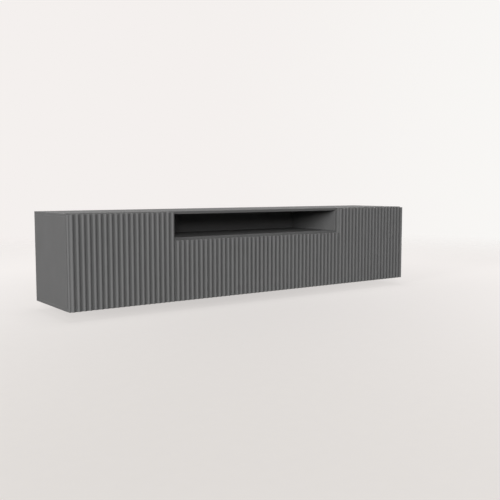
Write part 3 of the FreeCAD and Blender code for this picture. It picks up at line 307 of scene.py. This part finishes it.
class Finish(NodeTree):
    """The node tree of a new material."""

    def __init__(self, name):
        self.material = bpy.data.materials.new(name)
        self.material.use_nodes = True
        super().__init__(self.material.node_tree)

    def worn(self, share):
        """Where the eased edges are rubbed, in patches, up to a share."""
        mark = self.node("ShaderNodeAttribute", attribute_name=WEAR).outputs["Fac"]
        patches = self.spread(
            self.noise(self.place(), scale=23.0, detail=5.0, roughness=0.65),
            0.15, 1.0, start=0.35, end=0.75)
        return self.maths("MULTIPLY", self.maths("MULTIPLY", mark, patches), share)

    def done(self, colour, roughness, normal, **constants):
        """The material, with its surface wired and its other sockets set."""
        surface = self.node("ShaderNodeBsdfPrincipled", {
            "Base Color": colour, "Roughness": roughness, "Normal": normal})
        for name, value in constants.items():
            surface.inputs[name.replace("_", " ")].default_value = value
        self.node("ShaderNodeOutputMaterial", {"Surface": surface.outputs["BSDF"]})
        return self.material


def lift(colour, share):
    """A lighter version of a colour."""
    return tuple(part + (1.0 - part) * share for part in colour)


def tinted(colour, tint):
    """A colour with each of its parts turned up or down."""
    return tuple(part * share for part, share in zip(colour, tint))


# Finishes -------------------------------------------------------------------------------

def matt_grey(tree, colour, roughness, shares, patches, normal):
    """Finish a matt grey whose edges are a little rubbed, and less rough where they are."""
    rubbed = tree.worn(0.5)
    body = tree.blend(rubbed, tree.shaded(colour, *shares), lift(colour, 0.16))
    gloss = tree.spread(patches, roughness - 0.05, roughness + 0.05)
    gloss = tree.maths("SUBTRACT", gloss, tree.maths("MULTIPLY", rubbed, 0.25))
    return tree.done(body, gloss, normal, Specular_IOR_Level=0.15)


def matt_laminate(name, colour, roughness):
    """Matt laminate: faint clouding, close pores and edges a little rubbed."""
    tree = Finish(name)
    place = tree.place()
    pores = tree.spots(place, scale=1400.0)
    shares = (
        tree.spread(tree.noise(place, scale=2.6, detail=4.0), 0.85, 0.91),
        tree.spread(pores, 0.955, 1.015, start=0.05, end=0.6))
    patches = tree.noise(place, scale=11.0, detail=5.0)
    fine = tree.bump(pores, depth=0.03 * MM, strength=0.35)
    waves = tree.noise(place, scale=160.0, detail=3.0)
    normal = tree.bump(waves, depth=0.08 * MM, strength=0.12, normal=fine)
    return matt_grey(tree, colour, roughness, shares, patches, normal)


def sprayed_lacquer(name, colour, roughness):
    """Matt sprayed lacquer: faint clouding, orange peel and edges a little rubbed."""
    tree = Finish(name)
    place = tree.place()
    shares = (
        tree.spread(tree.noise(place, scale=2.6, detail=4.0), 1.045, 1.115),
        tree.spread(tree.noise(place, scale=1100.0, detail=2.0), 0.975, 1.025))
    patches = tree.noise(place, scale=13.0, detail=5.0)
    peel = tree.bump(
        tree.noise(place, scale=480.0, detail=2.0), depth=0.05 * MM, strength=0.4)
    waves = tree.noise(place, scale=90.0, detail=2.0)
    normal = tree.bump(waves, depth=0.1 * MM, strength=0.1, normal=peel)
    return matt_grey(tree, colour, roughness, shares, patches, normal)


def hardboard(name, colour, roughness):
    """Thin board with a smooth painted face and a screen-marked back."""
    tree = Finish(name)
    place = tree.place()
    facing = tree.node("ShaderNodeTexCoord").outputs["Normal"]
    parts = tree.node("ShaderNodeSeparateXYZ", {"Vector": facing})
    rear = tree.spread(parts.outputs["Y"], 0.0, 1.0, start=0.4, end=0.6)
    smooth_face = tree.shaded(
        colour, tree.spread(tree.noise(place, scale=4.0, detail=4.0), 0.845, 0.915))
    fibres = tree.noise(tree.place((1.0, 1.0, 0.35)), scale=330.0, detail=5.0, roughness=0.6)
    raw_back = tree.shaded(
        tinted(colour, (1.12, 1.0, 0.88)), tree.spread(fibres, 0.78, 1.16),
        tree.spread(tree.noise(place, scale=6.0, detail=4.0), 0.92, 1.08))
    across, along = (
        tree.stripes(place, scale=190.0, direction=axis, distortion=1.2) for axis in "XZ")
    screen = tree.maths("MULTIPLY", tree.maths("MULTIPLY", across, along), rear)
    fine = tree.bump(fibres, depth=0.05 * MM, strength=0.25)
    normal = tree.bump(screen, depth=0.25 * MM, strength=0.5, normal=fine)
    gloss = tree.maths(
        "ADD", tree.spread(fibres, roughness - 0.06, roughness + 0.04),
        tree.maths("MULTIPLY", rear, 0.12))
    body = tree.blend(rear, smooth_face, raw_back)
    return tree.done(body, gloss, normal, Specular_IOR_Level=0.18)


def linen_board(name, colour, roughness):
    """Drawer board faced with a fine linen-pressed foil."""
    tree = Finish(name)
    place = tree.place()
    threads = tree.maths(
        "ADD", tree.noise(tree.place((1.0, 1.0, 0.06)), scale=900.0, detail=2.0),
        tree.noise(tree.place((0.06, 0.06, 1.0)), scale=900.0, detail=2.0))
    foil = tree.shaded(
        colour, tree.spread(tree.noise(place, scale=3.0, detail=3.0), 0.97, 1.03),
        tree.spread(threads, 0.94, 1.06, start=0.7, end=1.3))
    body = tree.blend(tree.worn(0.4), foil, lift(colour, 0.14))
    gloss = tree.spread(
        tree.noise(place, scale=9.0, detail=4.0), roughness - 0.05, roughness + 0.05)
    normal = tree.bump(threads, depth=0.05 * MM, strength=0.4)
    return tree.done(body, gloss, normal, Specular_IOR_Level=0.3)


def beech_wood(name, colour, roughness):
    """Plain beech with short dark flecks along the grain."""
    tree = Finish(name)
    grain = tree.noise(tree.place((1.0, 1.0, 0.12)), scale=260.0, detail=5.0, roughness=0.6)
    flecks = tree.spots(tree.place((1.0, 1.0, 0.2)), scale=700.0)
    body = tree.shaded(
        colour, tree.spread(grain, 0.84, 1.12),
        tree.spread(flecks, 0.8, 1.0, start=0.02, end=0.2))
    gloss = tree.spread(grain, roughness - 0.05, roughness + 0.08)
    return tree.done(body, gloss, tree.bump(grain, depth=0.1 * MM, strength=0.4))


def plated_steel(name, colour, roughness):
    """Bright zinc plate: rolling marks, faint blooming and brighter rubbed edges."""
    tree = Finish(name)
    rolling = tree.noise(tree.place((1.0, 0.08, 1.0)), scale=900.0, detail=4.0, roughness=0.6)
    bloom = tree.noise(tree.place(), scale=60.0, detail=4.0, roughness=0.6)
    bluish, yellow = tinted(colour, (0.93, 0.97, 1.02)), tinted(colour, (1.03, 1.0, 0.92))
    plate = tree.blend(tree.spread(bloom, 0.0, 1.0), bluish, yellow)
    body = tree.blend(tree.worn(0.6), plate, lift(colour, 0.35))
    gloss = tree.maths(
        "ADD", tree.spread(rolling, roughness - 0.08, roughness + 0.06),
        tree.spread(bloom, -0.03, 0.05))
    normal = tree.bump(rolling, depth=0.02 * MM, strength=0.35)
    return tree.done(body, gloss, normal, Metallic=1.0)


def cast_metal(name, colour, roughness):
    """Die-cast zinc with a fine sandy skin."""
    tree = Finish(name)
    place = tree.place()
    sand = tree.noise(place, scale=1500.0, detail=3.0)
    body = tree.shaded(
        colour, tree.spread(tree.noise(place, scale=150.0, detail=4.0), 0.9, 1.06))
    gloss = tree.spread(sand, roughness - 0.06, roughness + 0.08)
    normal = tree.bump(sand, depth=0.06 * MM, strength=0.6)
    return tree.done(body, gloss, normal, Metallic=1.0)


def moulded_plastic(name, colour, roughness):
    """Moulded plastic with a spark-eroded grain and rubbed edges."""
    tree = Finish(name)
    place = tree.place()
    grain = tree.noise(place, scale=1300.0, detail=3.0, roughness=0.6)
    plain = tree.shaded(
        colour, tree.spread(tree.noise(place, scale=35.0, detail=3.0), 0.96, 1.04))
    body = tree.blend(tree.worn(0.4), plain, lift(colour, 0.2))
    gloss = tree.spread(grain, roughness - 0.06, roughness + 0.06)
    return tree.done(body, gloss, tree.bump(grain, depth=0.05 * MM, strength=0.5))


FINISHES = {  # slot: how its finish is made, and its roughness
    "grey_board": (matt_laminate, 0.7),
    "grey_fluted_board": (sprayed_lacquer, 0.68),
    "grey_hardboard": (hardboard, 0.7),
    "drawer_board": (linen_board, 0.55),
    "beech": (beech_wood, 0.6),
    "zinc_steel": (plated_steel, 0.34),
    "zinc_casting": (cast_metal, 0.46),
    "screw_steel": (plated_steel, 0.28),
    "grey_plastic": (moulded_plastic, 0.5),
    "cage_plastic": (moulded_plastic, 0.42),
}


def finish_for(slot):
    """The material of a slot, made when it is first asked for."""
    name = slot + "_finish"
    if name in bpy.data.materials:
        return bpy.data.materials[name]
    make, roughness = FINISHES[slot]
    settings = bpy.context.scene.console_finish
    colour = tuple(getattr(settings, slot, SLOT_COLOURS[slot]))
    return make(name, colour, roughness)


# Settings -------------------------------------------------------------------------------

def tone(label, description, default):
    """A colour that can be changed in the panel."""
    return FloatVectorProperty(
        name=label, description=description, subtype="COLOR", size=3, min=0.0, max=1.0,
        default=default)


def easing(label, description, default):
    """The width of an edge's rounding."""
    return FloatProperty(
        name=label, description=description, subtype="DISTANCE", unit="LENGTH", min=0.0,
        default=default)


class ConsoleFinish(bpy.types.PropertyGroup):
    grey_board: tone("Carcass", "Colour of the carcass boards", SLOT_COLOURS["grey_board"])
    grey_fluted_board: tone(
        "Fronts", "Colour of the fluted fronts", SLOT_COLOURS["grey_fluted_board"])
    grey_hardboard: tone("Back", "Colour of the back panels", SLOT_COLOURS["grey_hardboard"])
    drawer_board: tone("Drawer", "Colour of the drawer's box", SLOT_COLOURS["drawer_board"])
    grey_plastic: tone(
        "Housings", "Colour of the moulded housings", SLOT_COLOURS["grey_plastic"])
    cage_plastic: tone(
        "Ball cages", "Colour of the runners' ball cages", SLOT_COLOURS["cage_plastic"])
    board_easing: easing("Board easing", "Rounding of the boards' edges", 1.0 * MM)
    front_easing: easing(
        "Front easing", "Rounding of the fronts' top and bottom edges", 0.5 * MM)
    metal_easing: easing(
        "Metal easing", "Rounding of the edges of metal fittings", 0.2 * MM)
    housing_easing: easing(
        "Housing easing", "Rounding of the edges of moulded housings", 0.4 * MM)


class ConsoleStage(bpy.types.PropertyGroup):
    floor_drop: FloatProperty(
        name="Floor drop", description="How far the floor lies under the console",
        subtype="DISTANCE", unit="LENGTH", default=0.042)
    # floor_near is the floor's colour where its painted shade is deepest, and floor_far its
    # colour where that painted shade has faded, towards the backdrop
    floor_near: tone(
        "Floor, near", "Colour of the floor in front of the console", (0.703, 0.674, 0.650))
    floor_far: tone(
        "Floor, far", "Colour of the floor where it meets the backdrop",
        (0.922, 0.887, 0.868))
    backdrop_left: tone(
        "Backdrop, left", "Colour of the backdrop on the left", (0.905, 0.871, 0.855))
    backdrop_right: tone(
        "Backdrop, right", "Colour of the backdrop on the right", (0.947, 0.939, 0.921))
    floor_glow: FloatProperty(
        name="Floor glow", description="Brightness of the floor's share that takes no shadow",
        min=0.0, default=1.44)
    shadow_depth: FloatProperty(
        name="Shadow depth", description="How strongly the floor takes the console's shadow",
        subtype="FACTOR", min=0.0, max=1.0, default=0.4255)
    room_light: FloatProperty(
        name="Room light", description="Strength of the light from all round",
        min=0.0, default=0.02)


# Boards ---------------------------------------------------------------------------------

class CONSOLE_OT_carcass(bpy.types.Operator):
    """Carcass boards and loose shelves, with eased edges"""
    bl_idname = "console.carcass"
    bl_label = "Carcass"

    BOARDS = {
        "top_board": "top_panel",
        "bottom_board": "bottom_panel",
        "left_side_board": "left_side_panel",
        "right_side_board": "right_side_panel",
        "left_divider_board": "left_divider",
        "right_divider_board": "right_divider",
        "niche_shelf_board": "niche_shelf",
        "left_loose_shelf": "left_inner_shelf",
        "right_loose_shelf": "right_inner_shelf",
    }

    def execute(self, context):
        width = context.scene.console_finish.board_easing
        eased_pieces(self.BOARDS, "grey_board", box_edges, width, steps=3)
        refinish("left_back_panel", "centre_back_panel", "right_back_panel")
        return {"FINISHED"}


class CONSOLE_OT_fronts(bpy.types.Operator):
    """Fluted doors and drawer front"""
    bl_idname = "console.fronts"
    bl_label = "Fronts"

    FRONTS = {
        "fluted_left_door": "left_door",
        "fluted_right_door": "right_door",
        "fluted_drawer_front": "drawer_front",
    }

    def execute(self, context):
        width = context.scene.console_finish.front_easing
        eased_pieces(self.FRONTS, "grey_fluted_board", end_rims, width)
        return {"FINISHED"}


class CONSOLE_OT_drawer_box(bpy.types.Operator):
    """Drawer box behind the drawer front"""
    bl_idname = "console.drawer_box"
    bl_label = "Drawer box"

    BOARDS = {
        "drawer_box_front": "drawer_inner_front",
        "drawer_box_back": "drawer_back",
        "drawer_box_floor": "drawer_bottom",
        "drawer_box_left": "drawer_left_side",
        "drawer_box_right": "drawer_right_side",
    }

    def execute(self, context):
        width = context.scene.console_finish.board_easing
        eased_pieces(self.BOARDS, "drawer_board", box_edges, width, steps=3)
        return {"FINISHED"}


# Fittings -------------------------------------------------------------------------------

class CONSOLE_OT_runners(bpy.types.Operator):
    """Drawer runners with their cages and balls"""
    bl_idname = "console.runners"
    bl_label = "Runners"

    CHANNELS = {
        "outer_runner_channels": "runner_outer_members",
        "middle_runner_channels": "runner_middle_members",
        "inner_runner_channels": "runner_inner_members",
    }

    def execute(self, context):
        width = context.scene.console_finish.metal_easing
        eased_pieces(self.CHANNELS, "zinc_steel", sharp_edges, width)
        refinish("outer_ball_cages", "outer_balls", "inner_ball_cages", "inner_balls")
        return {"FINISHED"}


class CONSOLE_OT_hinges(bpy.types.Operator):
    """Cup hinges: cups, pins, arms and plates"""
    bl_idname = "console.hinges"
    bl_label = "Hinges"

    PRESSINGS = {
        "hinge_arm_pressings": "hinge_arms",
        "hinge_mounting_plates": "hinge_plates",
        "left_door_cups": "left_hinge_cups",
        "right_door_cups": "right_hinge_cups",
    }

    def execute(self, context):
        width = context.scene.console_finish.metal_easing
        eased_pieces(self.PRESSINGS, "zinc_steel", sharp_edges, width)
        refinish("left_hinge_pins", "right_hinge_pins")
        return {"FINISHED"}


class CONSOLE_OT_latches(bpy.types.Operator):
    """Push latches with their plungers, and the pads that they press"""
    bl_idname = "console.latches"
    bl_label = "Latches"

    MOULDINGS = {
        "latch_bodies": "latch_housings",
        "left_door_plunger_tip": "left_door_plunger",
        "left_drawer_plunger_tip": "left_drawer_plunger",
        "right_door_plunger_tip": "right_door_plunger",
        "right_drawer_plunger_tip": "right_drawer_plunger",
    }

    def execute(self, context):
        width = context.scene.console_finish.housing_easing
        eased_pieces(self.MOULDINGS, "grey_plastic", sharp_edges, width)
        refinish("left_door_pad", "right_door_pad", "drawer_pads")
        return {"FINISHED"}


class CONSOLE_OT_wall_fixings(bpy.types.Operator):
    """Wall rail and the hangers that hook over it"""
    bl_idname = "console.wall_fixings"
    bl_label = "Wall fixings"

    PRESSINGS = {"wall_hanging_rail": "wall_rail", "hanger_hook_plates": "hanger_hooks"}
    MOULDINGS = {"hanger_bodies": "hanger_housings"}

    def execute(self, context):
        settings = context.scene.console_finish
        eased_pieces(self.PRESSINGS, "zinc_steel", sharp_edges, settings.metal_easing)
        eased_pieces(self.MOULDINGS, "grey_plastic", sharp_edges, settings.housing_easing)
        return {"FINISHED"}


class CONSOLE_OT_joint_fittings(bpy.types.Operator):
    """Cam locks, cam bolts, dowels and shelf pins"""
    bl_idname = "console.joint_fittings"
    bl_label = "Joint fittings"

    def execute(self, context):
        refinish("cam_locks", "cam_bolts", "dowels", "shelf_pins")
        return {"FINISHED"}


# Screws ---------------------------------------------------------------------------------

HEAD_GRID = 5  # squares across the head, before it is made round
GRID_LINES = {0.2: 0.13, 0.6: 0.56, 1.0: 1.0}  # where the grid's lines go, in head radii
CROSS_WIDTH, CROSS_REACH = 0.1, 0.6  # how far off its axes the cross's squares' middles lie
CROWN = 0.5  # how far the head falls to its rim, as a share of its rise
RECESS_TAPER = 0.72  # size of the recess at its floor, as a share of that at its mouth
RECESS_FLOOR = 0.18  # height of the recess's floor, as a share of the head's rise
TAPER_START = 0.86  # where the shank begins to taper, as a share of its length
TIP_WIDTH = 0.2  # radius of the blunt point, as a share of the shank's
HEAD_SHARE = 0.99  # what reaches this share of the widest radius belongs to the head
TURN_STEP = 37.0  # degrees from one screw's cross to the next one's


def add_screw(shape, place, head, rise, shank, length):
    """A pan-head screw with a cross recess, that stands on the origin with its point down."""
    verts = bmesh.ops.create_grid(
        shape, x_segments=HEAD_GRID, y_segments=HEAD_GRID, size=1.0)["verts"]
    faces = sorted(
        {face for vert in verts for face in vert.link_faces}, key=lambda face: face.index)
    cross = []
    for face in faces:
        middle = face.calc_center_median()
        small, large = sorted((abs(middle.x), abs(middle.y)))
        if small < CROSS_WIDTH and large < CROSS_REACH:
            cross.append(face)
    for vert in verts:
        x, y = (
            math.copysign(GRID_LINES[round(abs(part), 1)], part) for part in vert.co.xy)
        vert.co.x = head * x * math.sqrt(1.0 - y * y / 2.0)
        vert.co.y = head * y * math.sqrt(1.0 - x * x / 2.0)
        out = vert.co.xy.length / head
        vert.co.z = rise * (1.0 - CROWN * out ** 2)
    rim = [
        edge for edge in {edge for vert in verts for edge in vert.link_edges}
        if edge.is_boundary]

    recess = bmesh.ops.extrude_face_region(shape, geom=cross)
    floor = [item for item in recess["geom"] if isinstance(item, bmesh.types.BMVert)]
    bmesh.ops.delete(shape, geom=cross, context="FACES_ONLY")
    for vert in floor:
        vert.co.x *= RECESS_TAPER
        vert.co.y *= RECESS_TAPER
        vert.co.z = RECESS_FLOOR * rise

    for radius, level in (
            (head, 0.0), (shank, 0.0), (shank, -TAPER_START * length),
            (TIP_WIDTH * shank, -length)):
        made = bmesh.ops.extrude_edge_only(shape, edges=rim)
        rim = [item for item in made["geom"] if isinstance(item, bmesh.types.BMEdge)]
        ring = [item for item in made["geom"] if isinstance(item, bmesh.types.BMVert)]
        for vert in ring:
            vert.co.xy = vert.co.xy.normalized() * radius
            vert.co.z = level
        verts.extend(ring)
    tip = bmesh.ops.contextual_create(shape, geom=rim)
    verts.extend(floor)
    bmesh.ops.recalc_face_normals(
        shape,
        faces=list({face for vert in verts for face in vert.link_faces} | set(tip["faces"])))
    bmesh.ops.transform(shape, matrix=place, verts=verts)


def screw_place(part):
    """A plain CAD screw's placement, head radius, head rise, shank radius and length."""
    low, high = corners(part)
    size = high - low
    _, axis = min((abs(size[(a + 1) % 3] - size[(a + 2) % 3]), a) for a in range(3))
    middle = (low + high) / 2.0
    radii = {}
    for vert in part:
        away = vert.co - middle
        away[axis] = 0.0
        level = round(vert.co[axis], 6)
        radii[level] = max(radii.get(level, 0.0), away.length)
    levels = sorted(radii)
    head = max(radii.values())
    head_levels = [level for level in levels if radii[level] > HEAD_SHARE * head]
    outward = 1.0 if levels[-1] in head_levels else -1.0
    if outward > 0.0 and levels[0] in head_levels:
        raise ValueError("a screw has a head at both ends")
    stand, point = min(head_levels), levels[0]
    if outward < 0.0:
        stand, point = max(head_levels), levels[-1]
    foot = middle.copy()
    foot[axis] = stand
    direction = Vector([outward if index == axis else 0.0 for index in range(3)])
    turn = direction.to_track_quat("Z", "Y").to_matrix().to_4x4()
    rise = max(head_levels) - min(head_levels)
    return Matrix.Translation(foot) @ turn, head, rise, radii[point], abs(stand - point)


class CONSOLE_OT_screws(bpy.types.Operator):
    """Cross-head screws and the hangers' adjusters"""
    bl_idname = "console.screws"
    bl_label = "Screws"

    SETS = (
        "back_panel_screws", "hinge_plate_screws", "hinge_arm_screws", "hanger_adjusters",
        "hanger_screws", "latch_screws", "runner_outer_screws", "runner_inner_screws",
        "left_cup_screws", "right_cup_screws", "drawer_box_screws", "drawer_front_screws",
    )

    def execute(self, context):
        for node in self.SETS:
            plain = whole_copy(node)
            shape = bmesh.new()
            for index, part in enumerate(islands(plain)):
                place, *sizes = screw_place(part)
                turned = Matrix.Rotation(math.radians(TURN_STEP * index % 90.0), 4, "Z")
                add_screw(shape, place @ turned, *sizes)
            plain.free()
            make_piece("cross_head_" + node, shape, "screw_steel", node)
        return {"FINISHED"}


# Stage ----------------------------------------------------------------------------------

LENS, SENSOR = 50.0, 36.0  # millimetres
CAMERA_PLACE = (-2.056, -2.9152, 0.5062)
CAMERA_TILT = 85.013  # degrees up from straight down
CAMERA_TURN = -35.97  # degrees to the left of straight ahead

FLOOR_RADIUS, FLOOR_SIDES = 12.0, 96
PAINTED_SHADE_MIDDLE = (-1.452, -1.779)  # where on the floor its colour is darkest: the middle of a painted shade
PAINTED_SHADE_REACH = 2.663  # metres from there to where the painted shade has faded and the floor is palest
PAINTED_SHADE_OVAL = (2.255, 2.122)  # half the width and depth of the painted shadow's oval round the console
PAINTED_SHADE_KEEPS = 0.796  # what the painted shadow leaves of the floor's brightness in the middle of that oval
FADE = (2.4, 5.5)  # distances between which the floor fades into the backdrop
UNSEEN_FLOOR = (0.1, 0.1, 0.1, 1.0)  # the floor's colour for rays that only carry light
BACKDROP_TURN = (0.5, 0.95)  # share of the X direction where the backdrop changes colour

AIM = Vector((0.0, 0.0, 0.2))  # what the lamps face

# Degrees left of the front, degrees up, metres away, width and height in metres, watts,
# whether it lights the floor, and whether it shows in the gloss.
SoftBox = namedtuple("SoftBox", "name left up away width height watts on_floor in_gloss")
SOFT_BOXES = (
    SoftBox("key", 32.0, 17.3, 12.0, 2.1, 4.0, 541.0, True, True),
    SoftBox("left_low", 75.0, 10.0, 12.0, 2.9, 2.9, 592.0, True, True),
    SoftBox("overhead", 0.0, 89.0, 7.5, 3.75, 3.75, 147.0, True, True),
    SoftBox("right_fill", -90.0, 40.0, 4.0, 2.0, 2.0, 50.0, False, True),
    SoftBox("rear_fill", 170.0, 18.0, 7.5, 3.75, 3.75, 120.0, False, True),
    SoftBox("rear_wash", -172.0, 8.0, 7.5, 3.75, 2.0, 240.0, False, False),
    SoftBox("side_wash", -112.0, 8.0, 6.0, 3.0, 1.4, 85.0, False, False),
)


def make_camera(scene):
    """The camera, in front and to the left of the console."""
    camera = bpy.data.objects.new("camera", bpy.data.cameras.new("camera"))
    camera.data.lens = LENS
    camera.data.sensor_width = SENSOR
    camera.location = CAMERA_PLACE
    camera.rotation_euler = (math.radians(CAMERA_TILT), 0.0, math.radians(CAMERA_TURN))
    scene.collection.objects.link(camera)
    scene.camera = camera


def floor_finish(stage):
    """A pale surface that takes a share of the console's shadow, with painted shade in its
    colour, and fades at its rim.
    """
    finish = Finish("floor")
    place = finish.place()
    # Painted shade: the floor's colour is darkest in front of the console's left half and grows
    # paler with distance, standing in for where less light falls
    far = finish.spread(
        finish.away(place, (*PAINTED_SHADE_MIDDLE, -stage.floor_drop)), 0.0, 1.0, start=0.0, end=PAINTED_SHADE_REACH,
        smooth=True)
    # Painted shadow: the floor's colour is darkened in an oval round the console
    oval = finish.place((1.0 / PAINTED_SHADE_OVAL[0], 1.0 / PAINTED_SHADE_OVAL[1], 0.0))
    painted_shade = finish.spread(
        finish.away(oval, (0.0, 0.0, 0.0)), PAINTED_SHADE_KEEPS, 1.0, start=0.0, end=1.0, smooth=True)
    speckle = finish.spread(finish.noise(place, scale=30.0, detail=4.0), 0.996, 1.004)
    colour = finish.shaded(
        finish.blend(far, stage.floor_near, stage.floor_far), painted_shade, speckle)

    glow = finish.node(
        "ShaderNodeEmission", {"Color": colour, "Strength": stage.floor_glow}).outputs[0]
    lit = finish.node("ShaderNodeBsdfDiffuse", {"Color": colour}).outputs[0]
    unseen = finish.node("ShaderNodeBsdfDiffuse", {"Color": UNSEEN_FLOOR}).outputs[0]
    shown = finish.mix(finish.seen(), unseen, finish.mix(stage.shadow_depth, glow, lit))
    fade = finish.spread(
        finish.away(place, (0.0, 0.0, 0.0)), 0.0, 1.0, *FADE, smooth=True)
    clear = finish.node("ShaderNodeBsdfTransparent").outputs[0]
    finish.node("ShaderNodeOutputMaterial", {"Surface": finish.mix(fade, shown, clear)})
    return finish.material


def make_floor(stage):
    """A pale round floor that fades into the backdrop."""
    shape = bmesh.new()
    bmesh.ops.create_circle(
        shape, cap_ends=True, segments=FLOOR_SIDES, radius=FLOOR_RADIUS)
    bmesh.ops.translate(shape, vec=(0.0, 0.0, -stage.floor_drop), verts=shape.verts)
    mesh = bpy.data.meshes.new("floor")
    shape.to_mesh(mesh)
    shape.free()
    mesh.materials.append(floor_finish(stage))
    floor = bpy.data.objects.new("floor", mesh)
    bpy.context.scene.collection.objects.link(floor)
    return floor


def make_backdrop(scene, stage):
    """A pale room that is seen, and a weak even light for everything else."""
    scene.world = bpy.data.worlds.new("room")
    scene.world.use_nodes = True
    tree = NodeTree(scene.world.node_tree)
    light = tree.node("ShaderNodeBackground", {
        "Color": (1.0, 1.0, 1.0, 1.0), "Strength": stage.room_light}).outputs[0]
    direction = tree.node("ShaderNodeTexCoord").outputs["Generated"]
    parts = tree.node("ShaderNodeSeparateXYZ", {"Vector": direction})
    rightward = tree.spread(parts.outputs["X"], 0.0, 1.0, *BACKDROP_TURN, smooth=True)
    colour = tree.blend(rightward, stage.backdrop_left, stage.backdrop_right)
    wall = tree.node("ShaderNodeBackground", {"Color": colour, "Strength": 1.0}).outputs[0]
    tree.node("ShaderNodeOutputWorld", {"Surface": tree.mix(tree.seen(), light, wall)})


def make_lamp(box):
    """A soft box that faces the console."""
    light = bpy.data.lights.new(box.name, "AREA")
    light.shape = "RECTANGLE"
    light.size, light.size_y = box.width, box.height
    light.energy = box.watts
    left, up = math.radians(box.left), math.radians(box.up)
    direction = Vector((
        -math.cos(up) * math.sin(left), -math.cos(up) * math.cos(left), math.sin(up)))
    lamp = bpy.data.objects.new(box.name, light)
    lamp.location = AIM + direction * box.away
    lamp.rotation_euler = direction.to_track_quat("Z", "Y").to_euler()
    lamp.visible_glossy = box.in_gloss
    bpy.context.scene.collection.objects.link(lamp)
    return lamp


class CONSOLE_OT_stage(bpy.types.Operator):
    """Floor, backdrop, soft boxes and camera"""
    bl_idname = "console.stage"
    bl_label = "Stage"

    def execute(self, context):
        stage = context.scene.console_stage
        make_camera(context.scene)
        floor = make_floor(stage)
        make_backdrop(context.scene, stage)
        unlit = bpy.data.collections.new("unlit_by_fills")
        unlit.objects.link(floor)
        unlit.collection_objects[0].light_linking.link_state = "EXCLUDE"
        for box in SOFT_BOXES:
            lamp = make_lamp(box)
            if not box.on_floor:
                lamp.light_linking.receiver_collection = unlit
        return {"FINISHED"}


# Add-on ---------------------------------------------------------------------------------

STEPS = (
    CONSOLE_OT_stage, CONSOLE_OT_carcass, CONSOLE_OT_fronts, CONSOLE_OT_drawer_box,
    CONSOLE_OT_runners, CONSOLE_OT_hinges, CONSOLE_OT_latches, CONSOLE_OT_wall_fixings,
    CONSOLE_OT_joint_fittings, CONSOLE_OT_screws,
)


class CONSOLE_PT_parts(bpy.types.Panel):
    """The console's parts and its stage"""
    bl_idname = "CONSOLE_PT_parts"
    bl_label = "Media console"
    bl_space_type = "VIEW_3D"
    bl_region_type = "UI"
    bl_category = "Console"

    def draw(self, context):
        for step in STEPS:
            self.layout.operator(step.bl_idname)
        for settings in (context.scene.console_finish, context.scene.console_stage):
            for name in settings.__annotations__:
                self.layout.prop(settings, name)


CLASSES = (ConsoleFinish, ConsoleStage, *STEPS, CONSOLE_PT_parts)


def register():
    for item in CLASSES:
        bpy.utils.register_class(item)
    bpy.types.Scene.console_finish = PointerProperty(type=ConsoleFinish)
    bpy.types.Scene.console_stage = PointerProperty(type=ConsoleStage)


def unregister():
    del bpy.types.Scene.console_stage
    del bpy.types.Scene.console_finish
    for item in reversed(CLASSES):
        bpy.utils.unregister_class(item)


def main():
    register()
    for step in STEPS:
        getattr(bpy.ops.console, step.bl_idname.split(".")[1])()
    bpy.context.scene.view_settings.view_transform = "Standard"


if __name__ == "__main__":
    main()
